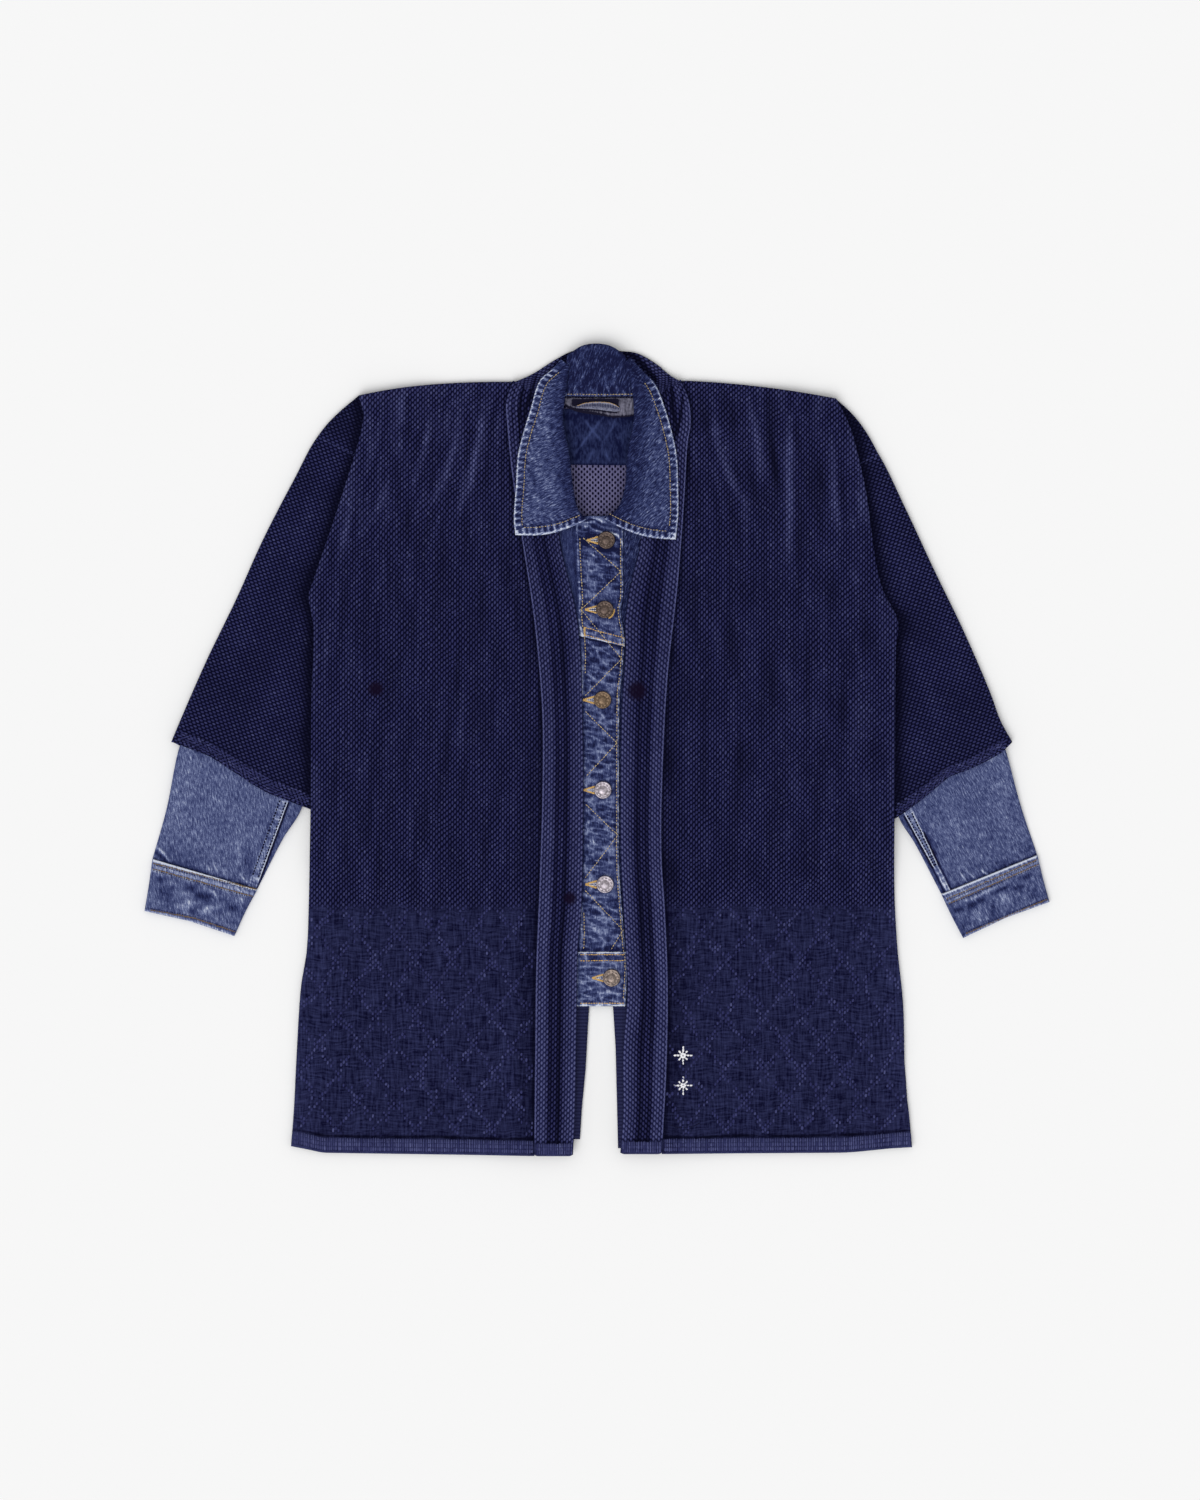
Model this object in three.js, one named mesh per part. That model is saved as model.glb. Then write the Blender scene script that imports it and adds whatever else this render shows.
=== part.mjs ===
// A thick indigo sashiko jacket with denim sleeves, collar and buttoned front, lying flat on its back.
// Millimetres. +X is the viewer's right, +Y the collar end, +Z up from the surface that it lies on.
// Every piece is a closed cloth wall, and neighbours keep a small seam gap.

import * as THREE from 'three';

// Driving sizes
const seamGap = 0.3;
const sashikoWall = 2.5;
const denimWall = 1.2;
const doubledDenim = 2.4;
const bandWall = 5.0;
const liningWall = 0.8;
const shoulderY = 368;
const hemY = -396;
const hemDepth = 17;
const quiltTopY = -155;
const quiltRowStep = 14;
const quiltRows = 16;
const quiltColumns = 22;
const quiltRelief = 0.6;
const sleeveHeight = 6.2;
const sleeveHemHeight = 9.0;
const denimSleeveHeight = 3.2;
const cuffHeight = 5.4;
const collarRollRadius = 2.2;
const collarRollRise = 4.0;
const collarBackRise = 5.2;
const collarBackTurn = 8;
const collarClear = 0.8;
const buttonRadius = 8.8;
const buttonHeight = 3.5;

// Relief of the cloth: folds, rolled edges, rims and seam dips
const shoulderFold = { height: 1.5, halfWidth: 9, fadeFrom: 300, fadeTo: 170 };
const bodyFold = { height: 1.2, halfWidth: 24, lean: 0.04 };
const edgeRoll = { height: 1.4, inset: 8, halfWidth: 7 };
const hemRise = 1.2;
const hemGroove = 0.7;
const rimDrop = 1.2;
const seamDip = 0.8;
const ribHeight = 0.7;
const bandGroove = 0.9;

// A front slopes down from its band, and from the sleeve that lies under its side edge
const bandSlope = 75;
const sleeveReach = 36;
const sleeveSlope = 64;
const sleeveHemFromY = 90;
const sleeveHemToY = 150;
const sleeveEndY = -90;
const flatSideY = -150;

// Heights of the layers from the floor up
const overBack = sashikoWall + seamGap;
const overDenimRight = overBack + denimWall + seamGap;
const overDenimLeft = overDenimRight + doubledDenim + seamGap;

// The denim fronts end under the collar at this height, and the bands sink to the back above it
const denimTopY = 245;
const bandSinkStartY = 250;
const bandSinkEndY = 310;

const sashikoColour = 0x1e2040;
const bandColour = 0x1b1d3a;
const denimColour = 0x525b80;
const denimDarkColour = 0x3d4670;
const liningColour = 0x2b3560;
const facingColour = 0x8d90a0;
const bronzeColour = 0x6b5d4a;
const silverColour = 0xa8a0a0;

// Small maths helpers

const lerp = THREE.MathUtils.lerp;
const smooth = (value) => THREE.MathUtils.smoothstep(value, 0, 1);
const between = (value, from, to) => smooth((value - from) / (to - from));
const bump = (offset, halfWidth) => Math.exp(-((offset / halfWidth) ** 2));
const steps = (count, from = 0, to = 1) => (
  Array.from({ length: count + 1 }, (_, i) => lerp(from, to, i / count))
);

// Smooth x along an edge that runs down the garment, from points listed from the top
function edge(points) {
  const last = points.length - 1;
  const slopes = points.map((point, i) => {
    const before = points[Math.max(i - 1, 0)];
    const after = points[Math.min(i + 1, last)];
    return (after[0] - before[0]) / (after[1] - before[1]);
  });
  return (y) => {
    let i = 0;
    while (i < last - 1 && y < points[i + 1][1]) {
      i += 1;
    }
    const [x0, y0] = points[i];
    const [x1, y1] = points[i + 1];
    const span = y1 - y0;
    const t = THREE.MathUtils.clamp((y - y0) / span, 0, 1);
    const startBend = slopes[i] * span - (x1 - x0);
    const endBend = slopes[i + 1] * span - (x1 - x0);
    return lerp(x0, x1, t) + t * (1 - t) * ((1 - t) * startBend - t * endBend);
  };
}

// Smooth curve through flat points, by a share from 0 to 1 with equal shares between points
function curve(points) {
  const spline = new THREE.CatmullRomCurve3(points.map(([x, y]) => new THREE.Vector3(x, y, 0)));
  return (share) => {
    const point = spline.getPoint(share);
    return [point.x, point.y];
  };
}

// A closed skin collected from grids and the strips that zip their borders together
class Skin {
  constructor() {
    this.points = [];
    this.triangles = [];
  }

  add(rows) {
    return rows.map((row) => row.map((point) => this.points.push(point) - 1));
  }

  cover(rows, outward, slant = () => false) {
    for (let r = 0; r < rows.length - 1; r += 1) {
      for (let c = 0; c < rows[r].length - 1; c += 1) {
        const corners = [rows[r][c], rows[r + 1][c], rows[r + 1][c + 1], rows[r][c + 1]];
        const [a, b, d, e] = corners;
        const pair = slant(r, c) ? [[a, b, e], [b, d, e]] : [[a, b, d], [a, d, e]];
        pair.forEach(([i, j, k]) => this.triangles.push(outward ? [i, j, k] : [i, k, j]));
      }
    }
  }

  shares(line) {
    const lengths = [0];
    for (let i = 1; i < line.length; i += 1) {
      const from = new THREE.Vector3(...this.points[line[i - 1]]);
      const to = new THREE.Vector3(...this.points[line[i]]);
      lengths.push(lengths[i - 1] + from.distanceTo(to));
    }
    return lengths.map((length) => length / lengths[lengths.length - 1]);
  }

  zip(first, second) {
    const firstShares = this.shares(first);
    const secondShares = this.shares(second);
    let i = 0;
    let j = 0;
    while (i < first.length - 1 || j < second.length - 1) {
      const firstNext = i < first.length - 1 ? firstShares[i + 1] : 2;
      const secondNext = j < second.length - 1 ? secondShares[j + 1] : 2;
      if (secondNext <= firstNext) {
        this.triangles.push([second[j], second[j + 1], first[i]]);
        j += 1;
      } else {
        this.triangles.push([second[j], first[i + 1], first[i]]);
        i += 1;
      }
    }
  }

  geometry() {
    const vectors = this.points.map((point) => new THREE.Vector3(...point));
    const volumes = this.triangles.map(([i, j, k]) => vectors[i].dot(vectors[j].clone().cross(vectors[k])));
    const volume = volumes.reduce((sum, part) => sum + part, 0);
    const triangles = volume > 0 ? this.triangles : this.triangles.map(([i, j, k]) => [i, k, j]);
    const result = new THREE.BufferGeometry();
    result.setAttribute('position', new THREE.Float32BufferAttribute(this.points.flat(), 3));
    result.setIndex(triangles.flat());
    result.computeVertexNormals();
    return result;
  }
}

// A cloth wall between two grids of points, which may have different numbers of rows and columns
function wallBetween(topRows, bottomRows, slant) {
  const skin = new Skin();
  const top = skin.add(topRows);
  const bottom = skin.add(bottomRows);
  skin.cover(top, true, slant);
  skin.cover(bottom, false);
  const sides = (rows) => [
    rows.map((row) => row[0]),
    rows[rows.length - 1],
    rows.map((row) => row[row.length - 1]).reverse(),
    [...rows[0]].reverse(),
  ];
  const bottomSides = sides(bottom);
  sides(top).forEach((side, i) => skin.zip(side, bottomSides[i]));
  return skin.geometry();
}

// A cloth tube between outer and inner rings
function tubeBetween(outerRings, innerRings) {
  const skin = new Skin();
  const closed = (rows) => rows.map((row) => [...row, row[0]]);
  const outer = closed(skin.add(outerRings));
  const inner = closed(skin.add(innerRings));
  skin.cover(outer, true);
  skin.cover(inner, false);
  skin.zip(inner[0], outer[0]);
  skin.zip(outer[outer.length - 1], inner[inner.length - 1]);
  return skin.geometry();
}

// A panel between a left and a right edge, with a plain underside and a raised upper side.
// columns gives the shares across for a width, rows the shares down from top to bottom.
function panel({ left, right, top, bottom, columns, rows, underColumns, underRows, base, lift, slant }) {
  const plan = (u, v) => {
    const y = lerp(top(u), bottom(u), v);
    return [lerp(left(y), right(y), u), y];
  };
  const width = (v) => Math.abs(plan(1, v)[0] - plan(0, v)[0]);
  const upper = rows.map((v, r) => columns(width(v)).map((u, c) => {
    const [x, y] = plan(u, v);
    return [x, y, base(x, y) + lift(x, y, r, c, u)];
  }));
  const under = underRows.map((v) => underColumns.map((u) => {
    const [x, y] = plan(u, v);
    return [x, y, base(x, y)];
  }));
  return wallBetween(upper, under, slant);
}

// A tube pressed flat between two edges, with round folds at both edges and a flat underside
function flatTube({ outer, inner, stations, height, base, wall, upperCells, sag, relief }) {
  const ringAt = (v) => {
    const [ox, oy] = outer(v);
    const [ix, iy] = inner(v);
    const width = Math.hypot(ix - ox, iy - oy);
    const tall = height(v);
    const round = tall / 2;
    const at = (distance, z) => {
      const u = distance / width;
      return [lerp(ox, ix, u), lerp(oy, iy, u) + sag(u, v), base(v) + z];
    };
    const upper = steps(upperCells, round, width - round).map((d) => at(d, tall + relief(d / width, v)));
    const outerRing = [
      at(0, tall / 2),
      at(0.3 * round, 0.85 * tall),
      ...upper,
      at(width - 0.3 * round, 0.85 * tall),
      at(width, tall / 2),
      at(width - 0.3 * round, 0.15 * tall),
      ...steps(2, width - round, round).map((d) => at(d, 0)),
      at(0.3 * round, 0.15 * tall),
    ];
    const corner = 1.2 * wall;
    const innerRing = [
      at(wall, tall / 2),
      ...steps(4, corner, width - corner).map((d) => at(d, tall - wall)),
      at(width - wall, tall / 2),
      ...steps(2, width - corner, corner).map((d) => at(d, wall)),
    ];
    return { outerRing, innerRing };
  };
  const rings = stations.map(ringAt);
  return tubeBetween(rings.map((ring) => ring.outerRing), rings.map((ring) => ring.innerRing));
}

const jacket = new THREE.Group();

function place(name, geometry, colour, { roughness = 0.9, metalness = 0 } = {}) {
  const material = new THREE.MeshStandardMaterial({ color: colour, roughness, metalness });
  const mesh = new THREE.Mesh(geometry, material);
  mesh.name = name;
  jacket.add(mesh);
  return mesh;
}

// Outlines, read as real sizes. The side edge is the fold of the front over the sleeve, then the side seam.

const leftSide = {
  sideEdge: edge([
    [-236, 354], [-232, 334], [-242, 296], [-262, 233], [-284, 168], [-288, 154], [-283, 120], [-285, 57],
    [-286, -59], [-288, -150], [-290, -200], [-296, -238], [-300, -300], [-303, -360], [-306, -398],
  ]),
  bandSeam: edge([
    [-84, 368], [-91, 349], [-90, 324], [-85, 274], [-75, 209], [-63, 129], [-55, 37], [-55, -50],
    [-58, -142], [-61, -218], [-62, -302], [-63, -405],
  ]),
  bandInner: edge([
    [-46, 349], [-42, 297], [-37, 209], [-31, 181], [-22, 144], [-17.5, 113], [-14, 52], [-12, -50],
    [-15, -157], [-19, -197], [-20, -249], [-22, -363], [-24, -405],
  ]),
  shoulder: (u) => shoulderY - 14 * (1 - u) ** 2.5,
  hem: (u) => hemY - 6 * smooth(u / 0.15) - 3.5 * u,
  bandTop: (u) => lerp(368, 349, u),
  shoulderFolds: [-197, -167, -142, -117],
  bodyFolds: [-225, -160, -100],
  sleeveOuter: [
    [-243, 351], [-278, 315], [-303, 270], [-334, 210], [-361, 150], [-390, 90], [-412, 40], [-425.5, 8],
  ],
  sleeveInner: [
    [-223, 342], [-229, 292], [-242, 241], [-263, 175], [-267, 104], [-270, 32], [-274, -30], [-277, -63],
  ],
  hemSag: (u) => 4.5 * Math.sin(2 * Math.PI * u),
  denimOuter: [[-401, 42], [-417, 4], [-430, -58], [-444.3, -108.6]],
  denimInner: [[-288, -12], [-295, -58], [-314, -89], [-339.6, -139]],
  cuffOuter: [[-444.4, -109], [-448, -135], [-452.3, -161]],
  cuffInner: [[-339.5, -139.6], [-350.5, -160], [-362.5, -186]],
  neckBandOuter: [[-83.6, 368.9], [-65, 375.5], [-43.5, 389], [-25, 398.5], [-1.2, 402.5]],
  neckBandInner: [[-58, 356.4], [-45, 354.6], [-28, 353.4], [-13, 352.6], [-1.2, 352.4]],
  leafOuter: [
    [-36, 390], [-45, 380], [-57, 369], [-66.5, 340], [-78.5, 297], [-81, 262], [-83, 231], [-81.5, 214.5],
  ],
  leafInner: [
    [-27, 383], [-28.5, 375], [-31, 357], [-33.6, 331], [-27.5, 296], [-23.6, 262], [-18.5, 240],
    [-10, 229.5],
  ],
};

const rightSide = {
  sideEdge: edge([
    [237, 352], [247, 335], [255, 317], [262, 290], [269, 257], [280, 181], [290, 149], [299, 135],
    [301, 122], [298.5, 100], [297.5, -26], [297, -130], [300, -195], [306, -255], [308, -330], [312, -365],
    [315, -398],
  ]),
  bandSeam: edge([
    [84, 369], [92, 350], [94, 325], [91, 307], [88, 257], [84.6, 208], [80.5, 160], [70.5, 68], [65, -50],
    [65, -111], [68, -157], [71, -234], [69.7, -317], [65, -405],
  ]),
  bandInner: edge([
    [50, 349], [49, 297], [43, 205], [36, 175], [31, 150], [28, 125], [28.4, 98], [23, 37], [21.5, -50],
    [22, -111], [25, -157], [28.4, -203], [30, -241], [26, -302], [26, -363], [23, -405],
  ]),
  shoulder: (u) => shoulderY + 1 - 18 * (1 - u) ** 1.6,
  hem: (u) => hemY - 1 - 5 * smooth(u / 0.3) - 1.5 * u,
  bandTop: (u) => lerp(369, 349, u),
  shoulderFolds: [112, 158, 193, 226],
  bodyFolds: [110, 170, 240],
  sleeveOuter: [
    [240, 350], [280, 298], [309, 240], [337, 180], [366, 120], [392, 60], [403.5, 29], [415, 8],
  ],
  sleeveInner: [
    [224, 341], [243, 281], [252, 212], [270, 147], [276, 76], [280, 5], [284, -42], [288, -75],
  ],
  hemSag: (u) => 2 * Math.sin(Math.PI * u),
  denimOuter: [[394, 40], [408, 1], [423, -54], [440, -104.6]],
  denimInner: [[291, -22], [301, -66], [318, -94], [344, -143.6]],
  cuffOuter: [[440.3, -105], [446, -129], [452.3, -152]],
  cuffInner: [[344.2, -144.2], [354, -165], [366, -188]],
  neckBandOuter: [[83.6, 369.8], [73, 374.5], [59, 386], [40, 396.5], [22, 399], [-0.4, 402.5]],
  neckBandInner: [[58, 356.4], [48, 355], [36, 353.8], [22, 353], [10, 352.6], [-0.4, 352.4]],
  leafOuter: [
    [33, 392], [48, 376], [57.5, 366], [67, 344], [79, 298], [81, 262], [81, 232], [78.5, 210],
  ],
  leafInner: [
    [27, 386], [31.5, 374], [35, 357], [36.5, 332], [30, 296], [27.6, 262], [20, 241], [6, 231],
  ],
};

// Sashiko fronts: raised by the band at one edge and by the sleeve at the other

const bandBase = (y) => lerp(overDenimLeft, overBack, between(y, bandSinkStartY, bandSinkEndY));

// How far a front is lifted by the sleeve under its side edge: most over the sleeve's hem, not below it
function sleeveLift(y) {
  const overHem = sleeveHemHeight + seamGap - sashikoWall;
  const overSleeve = sleeveHeight + seamGap - sashikoWall;
  const along = lerp(overHem, overSleeve, between(y, sleeveHemFromY, sleeveHemToY));
  return along * between(y, flatSideY, sleeveEndY);
}

// Shares down a front, the same along a band so that their seam runs through the same points
const bodyLength = shoulderY - hemY;
const quiltTopShare = (shoulderY - quiltTopY) / bodyLength;
const quiltEndShare = quiltTopShare + (quiltRowStep * (quiltRows - 1)) / bodyLength;
const rimCell = 3;
const shoulderRoll = [0, rimCell, 9].map((down) => down / bodyLength);
const upperRows = [...shoulderRoll, ...steps(16, 24 / bodyLength, quiltTopShare).slice(0, -1)];
const quiltRowShares = steps(quiltRows - 1, quiltTopShare, quiltEndShare);
const hemRowShares = [hemDepth, 11, rimCell, 0].map((up) => 1 - up / bodyLength);
const sparseRows = [...upperRows, ...quiltRowShares.filter((_, i) => i % 3 === 0), 1];

function front(side) {
  const fromEdge = (x, y) => Math.abs(x - side.sideEdge(y));
  const fromBand = (x, y) => Math.abs(x - side.bandSeam(y));
  const base = (x, y) => overBack
    + (bandBase(y) - overBack) * (1 - smooth(fromBand(x, y) / bandSlope))
    + sleeveLift(y) * (1 - smooth((fromEdge(x, y) - sleeveReach) / sleeveSlope));
  const rows = [...upperRows, ...quiltRowShares, ...hemRowShares];
  const firstQuiltRow = upperRows.length;
  const lastQuiltRow = firstQuiltRow + quiltRows - 1;
  const firstQuiltColumn = 2;
  const grooveRow = lastQuiltRow + 1;
  const columns = (width) => [
    0, rimCell / width,
    ...steps(quiltColumns, edgeRoll.inset / width, 1 - rimCell / width),
    1,
  ];
  const onQuiltLine = (r, c) => {
    const down = r - firstQuiltRow;
    const across = c - firstQuiltColumn;
    return (down + across) % 4 === 0 || (down - across) % 4 === 0;
  };
  const quilted = (r, c) => (
    r >= firstQuiltRow && r <= lastQuiltRow && c >= firstQuiltColumn && c <= firstQuiltColumn + quiltColumns
  );
  const folds = (x, y) => {
    const upper = between(y, shoulderFold.fadeTo, shoulderFold.fadeFrom);
    const lower = between(y, flatSideY, sleeveEndY) * (1 - between(y, sleeveHemFromY, shoulderFold.fadeTo));
    const narrow = side.shoulderFolds.reduce((sum, at) => sum + bump(x - at, shoulderFold.halfWidth), 0);
    const leaned = x - bodyFold.lean * y;
    const broad = side.bodyFolds.reduce((sum, at) => sum + bump(leaned - at, bodyFold.halfWidth), 0);
    return shoulderFold.height * upper * narrow + bodyFold.height * lower * broad;
  };
  const lift = (x, y, r, c) => {
    const nearEdge = bump(fromEdge(x, y) - edgeRoll.inset, edgeRoll.halfWidth);
    const roll = edgeRoll.height * nearEdge * between(y, flatSideY, sleeveEndY);
    const quilt = quilted(r, c) && onQuiltLine(r, c) ? quiltRelief : 0;
    const hem = (r > grooveRow ? hemRise : 0) - (r === grooveRow ? hemGroove : 0);
    const atRim = r === 0 || c === 0 || r === rows.length - 1;
    const atSeam = c === quiltColumns + 3;
    return sashikoWall + folds(x, y) + roll + quilt + hem - (atRim ? rimDrop : 0) - (atSeam ? seamDip : 0);
  };
  return panel({
    left: side.sideEdge,
    right: (y) => side.bandSeam(y) + Math.sign(side.sideEdge(y)) * seamGap,
    top: side.shoulder,
    bottom: side.hem,
    columns,
    rows,
    underColumns: [0, 0.12, 0.26, 0.42, 0.6, 0.8, 1],
    underRows: sparseRows,
    base,
    lift,
    slant: (r, c) => quilted(r, c) && onQuiltLine(r + 1, c) && onQuiltLine(r, c + 1),
  });
}

place('front_left', front(leftSide), sashikoColour);
place('front_right', front(rightSide), sashikoColour);

// Doubled collar bands down the front edges, ribbed lengthwise with a deeper groove along the middle

const bandFace = bandWall - 0.5;

function ribs(count, u) {
  const rib = (ribHeight / 2) * (1 - Math.cos(2 * Math.PI * count * u));
  return rib - bandGroove * bump(u - 0.5, 0.06);
}

function frontBand(side) {
  const ribCount = 6;
  const rows = [...sparseRows.slice(0, -1), ...hemRowShares];
  const cut = rows.length - hemRowShares.length;
  return panel({
    left: side.bandSeam,
    right: side.bandInner,
    top: side.bandTop,
    bottom: () => side.hem(1),
    columns: () => steps(2 * ribCount),
    rows,
    underColumns: [0, 1],
    underRows: sparseRows,
    base: (x, y) => bandBase(y),
    lift: (x, y, r, c, u) => {
      const rim = c === 0 || c === 2 * ribCount || r === rows.length - 1 ? rimDrop : 0;
      const groove = r === cut ? hemGroove : 0;
      return bandFace + (r > cut ? ribHeight / 2 : ribs(ribCount, u)) - rim - groove;
    },
  });
}

place('band_left', frontBand(leftSide), bandColour);
place('band_right', frontBand(rightSide), bandColour);

// The same band round the back of the neck, lying down to the floor behind the collar
function neckBand(side) {
  const outer = curve(side.neckBandOuter);
  const inner = curve(side.neckBandInner);
  const across = 8;
  const point = (u, v, z) => {
    const [ox, oy] = outer(v);
    const [ix, iy] = inner(v);
    return [lerp(ox, ix, u), lerp(oy, iy, u), overBack * (1 - smooth(v / 0.35)) + z];
  };
  const rimmed = (u) => bandFace + ribs(4, u) - (u === 0 || u === 1 ? rimDrop : 0);
  const upper = steps(8).map((v) => steps(across).map((u) => point(u, v, rimmed(u))));
  const under = steps(8).map((v) => steps(2).map((u) => point(u, v, 0)));
  return wallBetween(upper, under);
}

place('band_neck_left', neckBand(leftSide), bandColour);
place('band_neck_right', neckBand(rightSide), bandColour);

// Sashiko sleeves as flat tubes. The first stretch is the body's dropped shoulder, up to the sleeve seam.

const sleeveSeam = 1 / 7;
const seamShare = 0.0012;
const shoulderStations = steps(3, 0, sleeveSeam - seamShare);
const sleeveStations = [...steps(11, sleeveSeam + seamShare, 0.95), 0.965, 0.98, 1];
const sleeveGroove = 0.965;

function sashikoTube(side, stations) {
  return flatTube({
    outer: curve(side.sleeveOuter),
    inner: curve(side.sleeveInner),
    stations,
    height: (v) => lerp(sleeveHeight, sleeveHemHeight, smooth((v - 0.62) / 0.2)),
    base: () => 0,
    wall: sashikoWall,
    upperCells: 7,
    sag: (u, v) => side.hemSag(u) * v ** 8,
    relief: (u, v) => {
      const open = (1 - smooth((u - 0.4) / 0.2)) * smooth((v - sleeveSeam) / 0.1);
      const folds = 0.9 * (bump(u - 0.18, 0.09) + bump(u - 0.45, 0.1)) * open;
      return folds - (v === sleeveGroove ? 0.6 : 0);
    },
  });
}

[['left', leftSide], ['right', rightSide]].forEach(([name, side]) => {
  place(`drop_shoulder_${name}`, sashikoTube(side, shoulderStations), sashikoColour);
  place(`sleeve_${name}`, sashikoTube(side, sleeveStations), sashikoColour);
});

// Denim lower sleeves, tucked into the sashiko ones, and their cuffs

function denimSleeve(side) {
  return flatTube({
    outer: curve(side.denimOuter),
    inner: curve(side.denimInner),
    stations: steps(9),
    height: () => denimSleeveHeight,
    base: (v) => overBack * (1 - smooth((v - 0.5) / 0.4)),
    wall: denimWall,
    upperCells: 6,
    sag: () => 0,
    relief: (u, v) => 0.8 * smooth((v - 0.5) / 0.2) * bump(u - 0.3 - 0.2 * v, 0.14) * smooth((1 - v) / 0.1),
  });
}

function cuff(side) {
  return flatTube({
    outer: curve(side.cuffOuter),
    inner: curve(side.cuffInner),
    stations: [0, 0.08, 0.2, 0.3, 0.65, 0.9, 1],
    height: () => cuffHeight,
    base: () => 0,
    wall: doubledDenim - 0.2,
    upperCells: 6,
    sag: (u, v) => 2.5 * Math.sin(Math.PI * u) * v,
    relief: (u, v) => (v > 0.05 && v < 0.95 ? 0.4 * Math.sin(3 * Math.PI * u) ** 2 : -0.2) * smooth(v / 0.2),
  });
}

[['left', leftSide], ['right', rightSide]].forEach(([name, side]) => {
  place(`denim_sleeve_${name}`, denimSleeve(side), denimColour);
  place(`cuff_${name}`, cuff(side), denimDarkColour);
});

// The back: one flat panel, slit up the middle below the waist, with the sleeves set on at its sides

function back() {
  const sleeveLine = (side, sign) => {
    const inner = curve(side.sleeveInner);
    return [...shoulderStations, ...sleeveStations].map((v) => {
      const [x, y] = inner(v);
      return [x + sign * seamGap, y];
    });
  };
  const sideLine = (side, sign) => (
    [-110, -150, -195, -240, -300, -360, -388].map((y) => [side.sideEdge(y) + sign * 0.5, y])
  );
  const neck = curve([[84, 368], [58, 356], [22, 352.6], [0, 352], [-22, 352.6], [-58, 356], [-84, 367]]);
  const slit = [
    [-17, -389], [-15, -357], [-11.4, -320], [-8, -259], [3, -130], [16, -257], [18.5, -296], [20, -355],
    [21, -398],
  ];
  const outline = [
    ...steps(14).map(neck),
    [-147, 364], [-204, 361], [-221, 352],
    ...sleeveLine(leftSide, 1),
    [-285, -80],
    ...sideLine(leftSide, 1),
    ...slit,
    [150, -398],
    ...sideLine(rightSide, -1).reverse(),
    [296.5, -92],
    ...sleeveLine(rightSide, -1).reverse(),
    [222, 351], [212, 355], [172, 361], [114, 367],
  ];
  const shape = new THREE.Shape(outline.map(([x, y]) => new THREE.Vector2(x, y)));
  return new THREE.ExtrudeGeometry(shape, { depth: sashikoWall, bevelEnabled: false });
}

place('back', back(), sashikoColour);

// Denim fronts: a buttonhole side in three pieces that laps over a button side

const lappedEdge = edge([
  [26, 245], [26, 190], [26, 152], [23.5, 141], [27.6, 121], [27.6, 90], [26, 37], [25, -50], [27, -157],
  [28.4, -200], [30.5, -212], [28.4, -256],
]);
const lappedInner = edge([[-54, 245], [-46, 130], [-38, 60], [-36, -60], [-42, -256]]);
const yokeSeam = (u) => lerp(124, 104, u);
const waistSeam = () => -202.5;
const denimHem = () => -256;

function denimPiece({ left, right, top, bottom, base, wall, rows }) {
  const across = 7;
  return panel({
    left,
    right,
    top,
    bottom,
    columns: () => steps(across),
    rows: steps(rows),
    underColumns: [0, 1],
    underRows: steps(rows),
    base: () => base,
    lift: (x, y, r, c) => wall - (c === 0 || c === across ? 0.4 : 0) - (r === 0 || r === rows ? 0.3 : 0),
  });
}

const lapped = { left: lappedInner, right: lappedEdge, base: overDenimRight, wall: doubledDenim };
const yokeLeft = denimPiece({ ...lapped, top: () => denimTopY, bottom: yokeSeam, rows: 8 });
const frontLeft = denimPiece({ ...lapped, top: (u) => yokeSeam(u) - seamGap, bottom: waistSeam, rows: 14 });
const waistLeft = denimPiece({ ...lapped, top: () => waistSeam() - seamGap, bottom: denimHem, rows: 4 });
place('denim_yoke_left', yokeLeft, denimColour);
place('denim_front_left', frontLeft, denimColour);
place('denim_waistband_left', waistLeft, denimColour);

const buttonSide = denimPiece({
  left: () => -9,
  right: edge([[62, 245], [56, 150], [48, 37], [46, -256]]),
  top: () => denimTopY,
  bottom: denimHem,
  base: overBack,
  wall: denimWall,
  rows: 14,
});
place('denim_front_right', buttonSide, denimDarkColour);

// Turn-down denim collar: two leaves that roll over at the neck, and the stand round the back of the neck

// Upper and lower side of a doubled sheet along a section line of [distance, height] points
function thicken(line, wall) {
  return [1, -1].map((sign) => line.map((point, i) => {
    const before = line[Math.max(i - 1, 0)];
    const after = line[Math.min(i + 1, line.length - 1)];
    const along = new THREE.Vector2(after[0] - before[0], after[1] - before[1]).normalize();
    const reach = (sign * wall) / 2;
    return [point[0] - along.y * reach, point[1] + along.x * reach];
  }));
}

// Section of the collar from its free edge up to the roll and back under it
function rolledSection(width, base, rise, legLength, legDrop) {
  const centre = width - doubledDenim / 2 - collarRollRadius;
  const middle = base + doubledDenim / 2;
  const flat = steps(5).map((t) => [centre * t, middle + rise * t ** 1.5]);
  const turn = steps(6).slice(1).map((t) => {
    const angle = Math.PI * (0.5 - t);
    const height = middle + rise - collarRollRadius + collarRollRadius * Math.sin(angle);
    return [centre + collarRollRadius * Math.cos(angle), height];
  });
  const legHeight = middle + rise - 2 * collarRollRadius;
  return [...flat, ...turn, [centre - legLength, legHeight - legDrop]];
}

function sectionSheet(stations, sectionAt, planAt) {
  const sides = stations.map((v) => thicken(sectionAt(v), doubledDenim));
  const face = (which) => stations.map((v, i) => sides[i][which].map(([d, z]) => [...planAt(v, d), z]));
  return wallBetween(face(0), face(1));
}

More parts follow.
